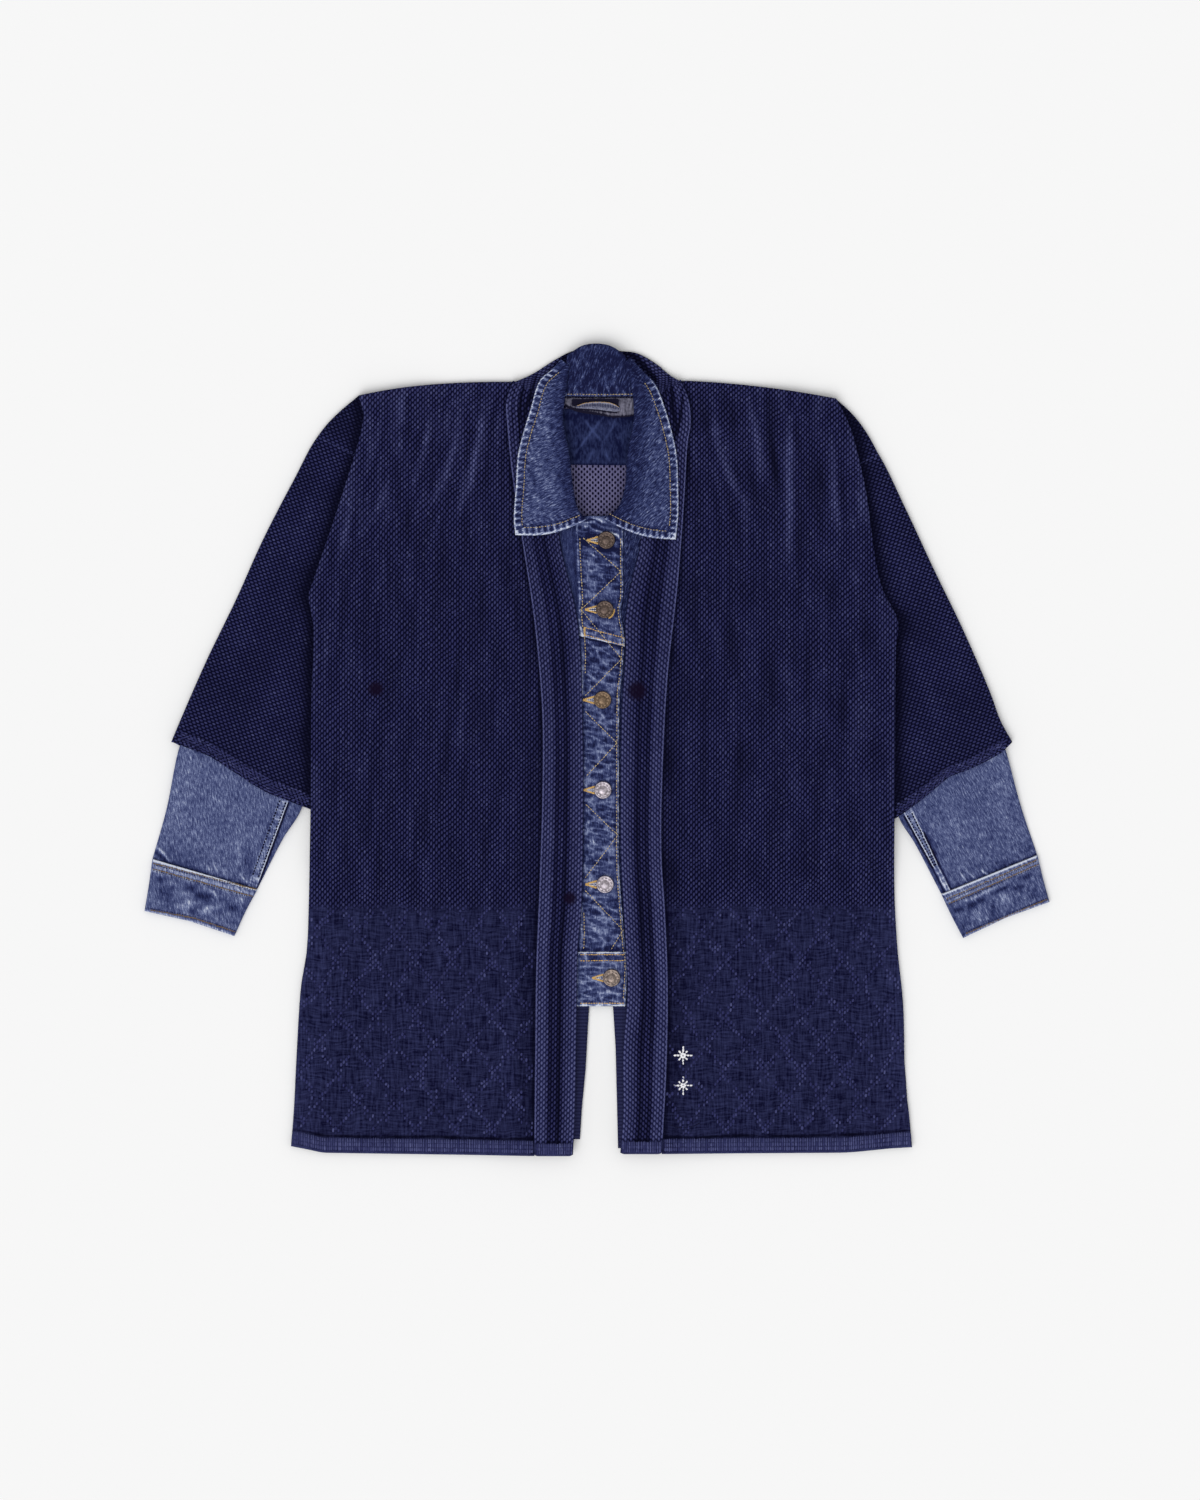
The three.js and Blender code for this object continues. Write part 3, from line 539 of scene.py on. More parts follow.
# Cloth of the jacket: rice-stitch weave above, plain slub weave with quilted diamonds in the skirt
def sashikoFinish(name, skirt=False, stained=False, threads=False, lean=0.0):
    f = Finish(name, roughness=0.93)
    place = f.clothPlace()
    x, y, _ = f.split(place)
    wear = f.mark("wear")
    mottle = f.noise(place, 0.045, 3.0, 0.6)
    fibre = f.noise(f.scaled(place, 1.0, 0.45), 1.3, 2.0, 0.6)
    fade = (wear + (mottle - 0.5) * 0.45 + (fibre - 0.5) * 0.3).clamp()
    if threads:
        shade = f.mark("shade")
        colour = f.mix((fade + shade * 0.15).clamp(), indigo["grain"], indigo["grainFaded"])
        height = f.noise(f.scaled(place, 1.6, 0.5), 2.0, 1.0)
        f.feed(normal=f.bump(height, 0.0002, 0.6))
    else:
        mask = grainMask(x, y, lean)
        ground = f.mix(fade, indigo["ground"], indigo["groundFaded"])
        raised = f.mix(fade, indigo["grain"], indigo["grainFaded"])
        weft, warp = (f.noise(f.scaled(place, *slub[way]), 1.0, slub["detail"], slub["rough"])
                      for way in ("weft", "warp"))
        crossed = weft + warp - 0.5
        turned = f.mark("plain")
        tight = f.mix((fade * 0.9 + (crossed - 0.5) * 0.8 + 0.3).clamp(), indigo["slubDark"], indigo["slubLight"])
        ground = f.mix(turned, ground, tight)
        mask = mask * (1 - turned)
        height = mask
        if skirt:
            ragged = f.noise(f.scaled(place, 0.25, 0.5), 1.0, 1.0)
            inSkirt = (y + (ragged - 0.5) * 14).step(diamond["top"] + 4, diamond["top"] - 8)
            offLine = diamondDistance(x, y)
            onLine = offLine.step(diamond["band"], diamond["band"] * 0.5)
            mask = mask * (1 - inSkirt * (1 - onLine * 0.4))
            fine = f.noise(place, 0.55, 1.0)
            plain = f.mix(((crossed - 0.5) * 1.5 + (fine - 0.5) * 0.45 + 0.39 + wear * 0.7).clamp(),
                          indigo["slubDark"], indigo["slubLight"])
            plain = f.mix(offLine.step(diamond["shadow"], diamond["band"]) * 0.2, plain, indigo["ground"])
            ground = f.mix(inSkirt * (1 - turned), ground, plain)
            height = mask + crossed * inSkirt
        colour = f.mix(mask, ground, raised)
        f.feed(normal=f.bump(height, 0.0005, 0.7))
    # where the per-point mark is below 0 it is painted shade: the cloth darkens towards the hollow colour in creases,
    # grooves and cast shadows
    colour = f.mix((wear * -2.2).clamp() * 0.85, colour, indigo["hollow"])
    if stained:
        spot = tieMarkMask(f, f.bodyPlace())
        colour = f.mix(spot * 0.92, colour, indigo["stain"])
    f.feed(colour=colour)
    return f.material


denimTones = {"deep": rgb(22, 25, 58), "dark": rgb(46, 54, 96), "blue": rgb(78, 87, 128), "pale": rgb(128, 138, 174),
              "white": rgb(206, 212, 228)}


# Worn denim: a twill line, pale flecks along the warp, and tone from the wear and the painted shade that each piece's
# shape gives
def denimFinish(name, tint=0.0, flecks=1.0, turn=0.0):
    f = Finish(name, roughness=0.88)
    place = f.clothPlace()
    warp = f.tone("ShaderNodeVectorRotate", {"rotation_type": "Z_AXIS"}, {"Vector": place, "Angle": turn})
    x, y, _ = f.split(warp)
    wear = f.mark("wear")
    mottle = f.noise(place, 0.09, 3.0, 0.6)
    fleck = f.noise(f.scaled(warp, 1.0, 0.2), 0.8, 2.0, 0.7)
    fine = f.noise(f.scaled(warp, 1.0, 0.5), 1.7, 1.0)
    twill = ((x + y * 0.6) * (2 * math.pi / 1.5)).op("SINE")
    amount = (wear * 0.5 + 0.5 + tint + (mottle - 0.5) * 0.2 + (fleck - 0.5) * 1.5 * flecks
              + (fine - 0.5) * 0.5 + twill * 0.03).clamp()
    stops = [(0.0, denimTones["deep"]), (0.28, denimTones["dark"]), (0.52, denimTones["blue"]),
             (0.76, denimTones["pale"]), (1.0, denimTones["white"])]
    colour = f.tone("ShaderNodeValToRGB", {"stops": stops}, {"Fac": amount})
    f.feed(colour=colour, normal=f.bump(twill * 0.3 + fleck, 0.0004, 0.6))
    return f.material


def plainFinish(name, dark, pale, scale, stretch=(1.0, 1.0, 1.0), roughness=0.9):
    f = Finish(name, roughness=roughness)
    place = f.scaled(f.bodyPlace(), *stretch)
    tone = f.noise(place, scale, 3.0, 0.6)
    wear = f.mark("wear")
    f.feed(colour=f.mix(((tone - 0.5) * 1.6 + 0.5 + wear).clamp(), dark, pale), normal=f.bump(tone, 0.0002, 0.5))
    return f.material


insideWeave = {"across": 2.8, "along": 5.4, "ribPitch": 3.4, "vent": (-120, -140), "outside": (1.6, 0.9),
               "pale": (rgb(74, 73, 108), rgb(118, 114, 150)), "dot": rgb(13, 9, 36),
               "turning": (rgb(30, 31, 62), rgb(46, 49, 84))}


# Inside of the back: mauve-grey cloth with staggered dark dots, and darker ribbed turnings at the vent
def insideFinish(name):
    w = insideWeave
    f = Finish(name, roughness=0.93)
    place = f.bodyPlace()
    x, y, z = f.split(place)
    column = x / w["across"]
    shift = (column.op("FLOOR") / 2).op("FRACT")
    aside = (column.op("FRACT") - 0.5) * w["across"]
    alongIt = ((y / w["along"] + shift).op("FRACT") - 0.5) * w["along"]
    dots = (aside * aside * 1.4 + alongIt * alongIt * 0.7).step(2.3, 0.9)
    threads = f.noise(f.scaled(place, 1.1, 0.12), 1.0, 2.0)
    ground = f.mix(((threads - 0.5) * 1.5 + 0.5).clamp(), *w["pale"])
    inner = f.mix(dots, ground, w["dot"])
    ribs = (y * (2 * math.pi / w["ribPitch"])).op("SINE") * 0.5 + 0.5
    turning = f.mix(ribs, *w["turning"])
    mask = grainMask(x, y)
    outside = f.mix(mask, indigo["ground"], indigo["grain"])
    colour = f.mix(y.step(*w["vent"]), inner, turning)
    colour = f.mix(z.step(*w["outside"]), colour, outside)
    f.feed(colour=colour, normal=f.bump(ribs * 0.3 + mask - dots * 0.6, 0.0004, 0.5))
    return f.material


bodyCloth = sashikoFinish("indigoBody", skirt=True, stained=True, lean=grain["lean"])
bodyThreads = sashikoFinish("indigoGrains", stained=True, threads=True)
sleeveCloth = sashikoFinish("indigoSleeve")
sleeveThreads = sashikoFinish("indigoSleeveGrains", threads=True)
bandCloth = sashikoFinish("indigoBand", stained=True, lean=grain["lean"])
bandThreads = sashikoFinish("indigoBandGrains", stained=True, threads=True)
denimCloth = denimFinish("wornDenim", -0.055, 0.7)
denimCollars = {-1: denimFinish("collarDenimLeft", -0.11, 1.3, 1.15),
                1: denimFinish("collarDenimRight", -0.16, 1.4, 0.8)}
denimSleeves = {-1: denimFinish("sleeveDenimLeft", -0.01, 0.9, -0.18),
                1: denimFinish("sleeveDenimRight", -0.04, 0.9, -0.48)}
# darker denim for the collar stand and the button side; on the button side, seen only in the narrow gap beside the
# placket, its darkness is painted shade
denimDarkAndShade = denimFinish("standDenim", -0.45, 1.5, 0.3)
insideCloth = insideFinish("insideBack")
liningCloth = plainFinish("twillLining", rgb(15, 19, 52), rgb(58, 68, 112), 0.5, (1.0, 0.4, 1.0))
facingCloth = plainFinish("paleFacing", rgb(24, 22, 40), rgb(142, 140, 160), 0.5, (1.0, 0.3, 1.0))
loopCloth = plainFinish("loopTape", rgb(58, 60, 84), rgb(146, 148, 170), 0.8)
dullThread = plainFinish("dullThread", rgb(64, 54, 50), rgb(150, 122, 76), 1.4, roughness=0.75)
goldThread = plainFinish("goldThread", rgb(150, 112, 56), rgb(232, 194, 122), 1.4, roughness=0.7)
tanThread = plainFinish("tanThread", rgb(126, 114, 88), rgb(206, 186, 142), 1.4, roughness=0.75)
paleThread = plainFinish("paleThread", rgb(140, 148, 180), rgb(212, 218, 232), 1.0, roughness=0.85)
navyThread = plainFinish("navyThread", rgb(14, 14, 38), rgb(56, 60, 98), 1.4, roughness=0.8)
whiteThread = plainFinish("whiteThread", rgb(212, 212, 220), rgb(250, 250, 252), 1.4, roughness=0.6)
print("stage: finishes")


# Sashiko fronts

frontCloth = {
    "wall": 2.5, "bandSlope": 75, "sleeveReach": 36, "sleeveSlope": 64, "overHem": 6.8, "overSleeve": 4.0,
    "hemFrom": 90, "hemTo": 150, "sleeveEnd": -90, "flatSide": -150,
    "rollHeight": 1.4, "rollInset": 8, "rollHalf": 7, "hemDepth": 17, "hemRise": 1.2, "hemGroove": 1.1,
    "edgeRadius": 3.2, "edgeDrop": 1.5, "quilt": 0.32, "cell": 2.6, "columns": 84, "leastWall": 0.7,
    "topRows": [0, 0.7, 1.6, 3.0, 5.0], "hemRows": [3.6, 2.6, 1.7, 0.9, 0.35, 0], "fine": (28, 4, 1.1),
    "edgeColumns": [0, 0.35, 0.9, 1.7, 2.8, 4.4], "scatter": 0.2, "lineHalf": 0.12, "quiltWear": (0.07, 0.14),
    "ribsAt": -390.0, "ribPitch": 2.3, "ribRises": (4.6, 9.0, 13.2), "ribWear": 0.40, "ribLonger": 1.9,
    "drift": {"height": 1.2, "half": 24, "lean": 0.04},
}
driftPlaces = {-1: (-225, -160, -100), 1: (110, 170, 240)}
shoulderFolds = {
    -1: creaseRows(
        (4.5, 1.5, -196, 353, -194, 332, -196, 296), (5, 1, -164, 346, -170, 312, -182, 268),
        (4.5, 1.5, -135, 350, -140, 312, -153, 268, -171, 238), (4, 1.5, -112, 342, -118, 312, -127, 268, -142, 225),
        (4, 0.7, -95, 346, -101, 300, -106, 250), (6, 1.1, -202, 276, -216, 246, -239, 208),
        (5, 1, -245, 264, -248, 226, -260, 190), (5, 0.8, -213, 198, -216, 162), (4, -1, -189, 330, -191, 312),
        (4, -0.8, -106, 314, -112, 255), (5, -0.6, -150, 330, -160, 280), (5, -0.5, -178, 330, -186, 280)),
    1: creaseRows(
        (5, 1.4, 116, 334, 119, 308, 132, 274, 147, 248, 153, 222),
        (4.5, 1.2, 152, 360, 155, 332, 163, 300, 170, 260),
        (4.5, 1.6, 197, 350, 194, 332, 191, 288, 193, 245, 190, 187),
        (4.5, 1.3, 233, 328, 236, 288, 239, 245, 244, 200), (4, 1, 259, 262, 263, 240),
        (4, 0.9, 247, 325, 261, 288, 270, 254, 276, 205), (6, 1, 254, 188, 260, 160),
        (5, -0.7, 174, 330, 178, 270, 180, 220), (5, -0.7, 214, 320, 216, 262, 220, 210),
        (5, -0.6, 134, 345, 140, 310), (5, 0.6, 104, 330, 108, 280)),
}
bodyCreases = {
    -1: creaseRows(
        (10, 0.8, -270, 120, -250, 60, -245, -40), (9, 0.6, -262, -20, -240, -90, -236, -150),
        (11, 0.7, -190, 130, -180, 40, -184, -60), (8, 0.6, -80, 90, -84, 0, -82, -110),
        (1.6, -0.7, -287, -263, -250, -266, -219, -265), (1.6, -0.7, -292, -302, -256, -303, -212, -301),
        (2, -0.5, -291, -240, -262, -246), (5, 0.5, -90, -250, -92, -330),
        (1.6, -0.7, -284, -352, -268, -359, -254, -357), (2.2, -0.8, -99, -168, -97, -215, -96, -255)),
    1: creaseRows(
        (10, 0.9, 285, 120, 262, 70, 258, -30), (9, 0.6, 283, 10, 262, -50, 258, -120),
        (11, 0.7, 200, 110, 206, 20, 200, -70), (8, 0.6, 96, 60, 92, -20, 95, -110)),
}

# pale rubbed streaks of the shoulders, with two dark nicks on the left
shoulderRubs = {
    -1: creaseRows(
        (5, 0.5, -197, 358, -197, 330), (4, 0.45, -199, 313, -200, 292), (1.8, -0.7, -194, 323, -193, 300),
        (4, 0.45, -139.5, 357, -140, 327), (4, 0.55, -116, 333, -117, 311),
        (3, 0.4, -118, 306, -123, 280, -126.5, 256), (7, 0.35, -167, 262, -170, 242),
        (0.9, -0.6, -135, 318, -118, 317.5), (4, 0.35, -235, 245, -237, 208),
        (4, 0.35, -245, 277, -250, 236, -252, 197), (3.5, 0.4, -219, 170, -220, 150)),
    1: creaseRows(
        (6, 0.6, 118, 326, 118, 312), (6, 0.5, 145, 325, 145, 314), (3.2, 0.4, 158, 338, 160, 300, 164, 262),
        (3.6, 0.4, 193, 350, 192, 300, 191, 240, 196, 140), (4, 0.35, 194, 336, 194.5, 326),
        (3.2, 0.4, 236, 322, 235, 260, 240, 170), (3, 0.45, 262, 254, 264, 230)),
}


# slow drift of the weave's rows up and down the fronts
def rowDrift(x, y):
    return 1.7 * ripple(x, y, 40, 31) + 0.6 * ripple(x, y, 15, 32)


def driftCloth(points):
    flat = flatCloth(points)
    return joined(flat[:, 0], flat[:, 1] - rowDrift(points[:, 0], points[:, 1]))


def frontShape(side, x, y):
    sign = side["sign"]
    c = frontCloth
    fromEdge = np.abs(x - side["sideEdge"](y))
    fromBand = np.abs(x - side["bandSeam"](y))
    u = fromEdge / np.maximum(fromEdge + fromBand, 1e-6)
    fromHem, fromTop = y - side["hem"](u), side["shoulder"](u) - y
    aroundSleeve = between(y, c["flatSide"], c["sleeveEnd"])
    lift = lerp(c["overHem"], c["overSleeve"], between(y, c["hemFrom"], c["hemTo"])) * aroundSleeve
    base = (layers["overBack"] + (bandBase(y) - layers["overBack"]) * (1 - smooth(fromBand / c["bandSlope"]))
            + lift * (1 - smooth((fromEdge - c["sleeveReach"]) / c["sleeveSlope"])))
    folds = creaseField(x, y, shoulderFolds[sign])
    sharp = np.sign(folds) * np.abs(folds) ** 1.5
    leaned = x - c["drift"]["lean"] * y
    broad = sum(bell(leaned - at, c["drift"]["half"]) for at in driftPlaces[sign])
    broad = broad * c["drift"]["height"] * aroundSleeve * (1 - between(y, 90, 170))
    creases = creaseField(x, y, bodyCreases[sign])
    roll = c["rollHeight"] * bell(fromEdge - c["rollInset"], c["rollHalf"]) * aroundSleeve
    inSkirt = between(y, diamond["top"], diamond["top"] - 10) * between(fromHem, c["hemDepth"], c["hemDepth"] + 6)
    puckers = 0.09 * ripple(x, y, 13, 5) * inSkirt
    quilt = c["quilt"] * bell(offDiamond(x, y), 0.1) * inSkirt + puckers
    hem = c["hemRise"] * between(fromHem, c["hemDepth"] - 1.0, c["hemDepth"] - 5.5)
    wavy = fromHem + 0.9 * ripple(x, y, 60, 12)
    groove = c["hemGroove"] * bell(wavy - c["hemDepth"], 1.5) + 0.35 * bell(wavy - c["hemDepth"] - 8, 1.2)
    edgeLineGroove = 0.4 * bell(fromHem - 4.2, 0.9)
    rims = np.maximum.reduce([roundOver(fromEdge, c["edgeRadius"], c["edgeDrop"]), roundOver(fromHem, 3.4, 1.6),
                              roundOver(fromTop, 3.2, 1.5)])
    seam = 0.9 * bell(fromBand, 1.6)
    top = (base + c["wall"] + folds + broad + creases + roll + quilt + hem - groove - edgeLineGroove - rims - seam
           + 0.22 * ripple(x, y, 46, 3, 1.8))
    shoulderFade = between(y, 190, 350)
    blotches = ripple(x + 0.12 * sign * (y - 360), y, 22, 11 + sign, 3.2)
    hemBand = between(fromHem, c["hemDepth"], c["hemDepth"] - 3)
    streaks = ripple(x + 0.2 * sign * (y - 360), y, 12, 23 + sign, 9) * between(y, 150, 300)
    ribbed = ripple(x, y, 7, 41 + sign, 24) * between(y, diamond["top"], diamond["top"] + 60)
    # fronts' tone: fading in streaks, blotches, rubs and the hem band; fold crests painted lighter and troughs darker
    # as painted shading; painted shade in the hem groove and beside the band seam; the rolled side edge lighter, part
    # fading and part painted highlight
    wear = (-0.06 + 0.11 * ribbed + 0.30 * sharp + 0.10 * creases + (0.06 - 0.05 * sign) * shoulderFade
            + 0.10 * blotches * (1 - 0.7 * inSkirt) + 0.14 * streaks + 0.6 * creaseField(x, y, shoulderRubs[sign])
            + 0.22 * bell(fromEdge - 1, 4) + 0.06 * bell(fromEdge - 14, 12) + 0.15 * bell(fromTop, 9) + 0.32 * hemBand
            + 0.30 * bell(fromHem, 1.4) - 0.2 * bell(fromHem - 3.2, 0.9)
            - (0.40 + 0.16 * ripple(x, y, 34, 14)) * bell(wavy - c["hemDepth"], 1.4)
            - 0.25 * bell(fromBand - 1.5, 2.2) - 0.12 * bell(fromBand - 9, 9) * between(y, 260, 60))
    return base, top, wear, hemBand


# plan of a panel between a left and a right edge, by shares across and down
def panelPlan(u, v, edges):
    left, right, topLine, bottomLine = edges
    y = lerp(topLine(u), bottomLine(u), v)
    return lerp(left(y), right(y), u), y


def offDiamond(x, y):
    a, b = (x - diamond["at"][0]) / (2 * diamond["wide"]), (y - diamond["at"][1]) / (2 * diamond["tall"])
    return np.minimum(np.abs(a + b - np.round(a + b)), np.abs(a - b - np.round(a - b)))


# a panel with a fine upper side and a sparse underside at a low height
def panelPiece(name, top, edges, counts, low, finish, cloth, marks):
    u, v = np.meshgrid(*(np.linspace(0, 1, count) for count in counts))
    x, y = panelPlan(u, v, edges)
    return makePiece(name, *clothWall(top, joined(x, y, low(x, y))), finish, cloth, marks)


# shares across a width, close together at both edges
def edgedShares(width, near, count):
    near = np.array(near)
    inner = np.linspace(near[-1], width - near[-1], count + 1)
    return np.concatenate([near[:-1], inner, (width - near[:-1])[::-1]]) / width


# thread grains: small eight-point ridges, set on the cloth at lattice places
grainShape = np.array([(-1, -0.5, 0), (0, -1, 0), (1, -0.5, 0), (1, 0.5, 0), (0, 1, 0), (-1, 0.5, 0),
                       (0, -0.42, 1), (0, 0.42, 1)])
grainQuads = np.array([(0, 6, 7, 5), (2, 3, 7, 6)])
grainTriangles = np.array([(0, 1, 6), (1, 2, 6), (3, 4, 7), (4, 5, 7)])


def grainPiece(name, centres, turn, heightAt, finish, cloth, wear, size=1.0, longer=1.0):
    count = len(centres)
    wide = grain["halfWide"] * size * rng.uniform(*grain["wideSpread"], count)
    long = grain["halfLong"] * size * longer * rng.uniform(*grain["longSpread"], count)
    tall = grain["height"] * rng.uniform(*grain["tallSpread"], count)
    turn = turn + rng.normal(0, grain["turnSpread"], count)
    lx, ly = grainShape[:, 0] * wide[:, None], grainShape[:, 1] * long[:, None]
    ca, sa = np.cos(turn)[:, None], np.sin(turn)[:, None]
    x, y = centres[:, :1] + lx * ca - ly * sa, centres[:, 1:2] + lx * sa + ly * ca
    z = heightAt(x, y) - grain["sink"] + grainShape[:, 2] * (tall[:, None] + grain["sink"])
    points = joined(x, y, z).reshape(-1, 3)
    start = (np.arange(count) * len(grainShape))[:, None, None]
    quads, triangles = (start + grainQuads).reshape(-1, 4), (start + grainTriangles).reshape(-1, 3)
    shade = np.repeat(rng.normal(0, 1, count), len(grainShape))
    marks = {"wear": np.repeat(wear, len(grainShape)), "shade": shade}
    return makePiece(name, points, quads, triangles, finish, cloth, marks, angle=180, closed=False)


def latticePlaces(xRange, yRange):
    columns = np.arange(math.floor(xRange[0] / grain["across"]), math.ceil(xRange[1] / grain["across"]))
    rows = np.arange(math.floor(yRange[0] / grain["along"]) - 1, math.ceil(yRange[1] / grain["along"]) + 1)
    column, row = np.meshgrid(columns, rows)
    x = (column + 0.5) * grain["across"]
    y = (row + 0.5 - 0.5 * (column % 2)) * grain["along"]
    return joined(x.ravel(), y.ravel())


# stitch places and turns along a line of points, a pitch apart
def stitchRow(line, pitch, spread=0.12):
    p = np.array(line, float)
    runs = np.linalg.norm(np.diff(p, axis=0), axis=1)
    ends = np.concatenate([[0], np.cumsum(runs)])
    at = np.arange(pitch / 2, ends[-1], pitch)
    i = np.minimum(np.searchsorted(ends, at, side="right") - 1, len(runs) - 1)
    d = np.diff(p, axis=0)[i] / runs[i][:, None]
    centres = p[i] + d * (at - ends[i])[:, None] + rng.normal(0, spread, (len(at), 2))
    return centres, np.arctan2(d[:, 1], d[:, 0]) - math.pi / 2


def crossRow(line, pitch):
    centres, turns = stitchRow(line, pitch, 0.05)
    return centres, turns + math.pi / 2


# upright threads of a turned hem, each in one line up the hem
def hemRibs(name, form, ribX, hemAt, height, finish, cloth):
    ribX = ribX + rng.normal(0, 0.2, len(ribX))
    hemLine = hemAt(ribX)
    places = np.concatenate([joined(ribX, hemLine + rise) for rise in form["ribRises"]])
    wear = form["ribWear"] + 0.14 * np.tile(rng.normal(0, 1, len(ribX)), len(form["ribRises"]))
    return grainPiece(name + "HemRibs", places, 0.0, height, finish, cloth, wear, size=0.8, longer=form["ribLonger"])


bodyLength = layers["shoulder"] - layers["hem"]


def makeFront(side, name, node):
    sign = side["sign"]
    c = frontCloth
    fineFrom, fineTo, fineCell = c["fine"]
    down = np.concatenate([c["topRows"], np.arange(7.5, bodyLength - 30, c["cell"]),
                           np.arange(bodyLength - fineFrom, bodyLength - fineTo, fineCell),
                           bodyLength - np.array(c["hemRows"])])
    rows = (down / bodyLength)[:, None]

    def seam(y):
        return side["bandSeam"](y) - sign * 0.5
    edges = (side["sideEdge"], seam, side["shoulder"], side["hem"])
    middle = lerp(side["shoulder"](0.5), side["hem"](0.5), rows[:, 0])
    widths = np.abs(seam(middle) - side["sideEdge"](middle))
    columns = np.stack([edgedShares(w, c["edgeColumns"], c["columns"]) for w in widths])
    x, y = panelPlan(columns, rows, edges)
    base, top, wear, turned = frontShape(side, x, y)
    top = joined(x, y, np.maximum(top, base + c["leastWall"]))
    piece = panelPiece(name, top, edges, (12, 40), lambda px, py: frontShape(side, px, py)[0], bodyCloth, driftCloth,
                       {"wear": wear, "plain": turned})

    def height(px, py):
        return frontShape(side, px, py)[1]

    def shareAt(px, py):
        edge, band = side["sideEdge"](py), side["bandSeam"](py)
        return np.clip((px - edge) / (band - edge), 0, 1)
    places = latticePlaces((x.min(), x.max()), (y.min(), y.max()))
    places[:, 1] += rowDrift(*places.T)
    px, py = places.T
    u = shareAt(px, py)
    fromHem, fromTop = py - side["hem"](u), side["shoulder"](u) - py
    inside = (np.abs(px) < np.abs(side["sideEdge"](py)) - 1.4) & (np.abs(px) > np.abs(side["bandSeam"](py)) + 1.6)
    inside &= (fromTop > 2.5) & (fromHem > c["hemDepth"] + 3.5)
    ragged = 6 * ripple(px, py, 9, 2)
    wander = 3.0 * ripple(px, py, 60, 6) + 1.3 * ripple(px, py, 18, 16)
    off = offDiamond(px + wander, py)
    kept = rng.uniform(0, 1, len(px)) < 0.95 - 4.5 * off + 0.3 * ripple(px, py, 24, 7)
    inside &= (py > diamond["top"] + ragged) | ((off < c["lineHalf"]) & kept)
    places = places[inside] + rng.normal(0, c["scatter"], (inside.sum(), 2))
    quilted = between(places[:, 1], diamond["top"], diamond["top"] - 6)
    quilted = quilted * (0.75 + 0.35 * ripple(*places.T, 34, 8) + 0.3 * between(places[:, 1], -250, -330))
    paler, spread = c["quiltWear"]
    # the grains take the fronts' wear and painted shade, and are paler along the quilted lines
    grainWearAndShade = frontShape(side, *places.T)[2] + (paler + spread * rng.normal(0, 1, len(places))) * quilted
    grains = grainPiece(name + "Grains", places, -grain["lean"], height, bodyThreads, flatCloth, grainWearAndShade,
                        size=1 + 0.16 * quilted)

    lowEdge, lowBand = (abs(side[k](c["ribsAt"])) for k in ("sideEdge", "bandSeam"))
    ribX = np.arange(lowBand + 2, lowEdge - 2, c["ribPitch"]) * sign

    def hemAt(px):
        return side["hem"](shareAt(px, np.full(len(px), c["ribsAt"])))
    ribs = hemRibs(name, c, ribX, hemAt, height, bodyThreads, flatCloth)
    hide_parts(node)
    wallArea(top)
    return height


frontHeights = {side["sign"]: makeFront(side, name, node) for side, name, node in (
    (leftSide, "frontLeft", "front_left"), (rightSide, "frontRight", "front_right"))}
print("stage: sashiko fronts")


# Doubled collar bands down the front edges, ribbed lengthwise

bandForm = {"face": 4.5, "wide": 40, "edgeColumns": [0, 0.35, 0.9, 1.7], "ribs": 7, "ribHeight": 0.4,
            "edgeRadius": 2.6, "edgeDrop": 1.5, "hemDepth": 14, "hemGroove": 1.2, "columns": 44, "cell": 2.8,
            "grainColumns": 15, "leafLow": 212, "ribsAt": -395.0, "ribPitch": 2.3,
            "ribRises": (3.6, 7.2, 10.8), "ribWear": 0.34, "ribLonger": 1.7}
# light and shade painted across a band's ribs: lighter ridges, darker grooves
bandShading = knots([(0, 0.95), (0.035, 0.45), (0.09, 0.48), (0.2, 0.62), (0.29, 0.34), (0.36, -0.2), (0.47, 0.0),
                  (0.6, -0.28), (0.69, 0.2), (0.84, 0.42), (0.95, 0.68), (1, 0.6)])

# dark quilting lines, and dark gaps beside the collar painted as shade, read off the photograph
neckLines = {
    -1: photoCreases(
        (1.1, 0.6, 507, 386, 505, 410, 502.5, 442), (1.4, 1, 525, 381, 521, 396, 519, 415, 520, 442, 523, 475),
        (1.6, 1, 537, 373, 532, 390, 527, 405, 524, 424), (1.9, 1.1, 553, 369, 563, 358.5, 573, 350.5),
        (1, -0.5, 509.5, 392, 508.5, 420, 508, 452), (1, 0.45, 515, 383, 513, 410, 513, 440)),
    1: photoCreases(
        (1.4, 1, 668, 375, 672.5, 392, 671.5, 407, 676, 424), (1.5, 1, 681, 386, 682.5, 400, 680, 420, 675, 440),
        (2.6, 1.2, 617, 350, 635, 356.5, 646, 368.5, 655, 379, 659, 388), (1, -0.5, 687, 396, 687, 420, 684, 450),
        (1.2, 0.5, 664, 378, 666, 390, 666, 400)),
}


def bandRibs(side, u):
    rib = bandForm["ribHeight"] / 2 * (1 - np.cos(2 * np.pi * bandForm["ribs"] * u))
    return rib - sum(depth * bell(u - at, half) for at, half, depth in side["grooves"])


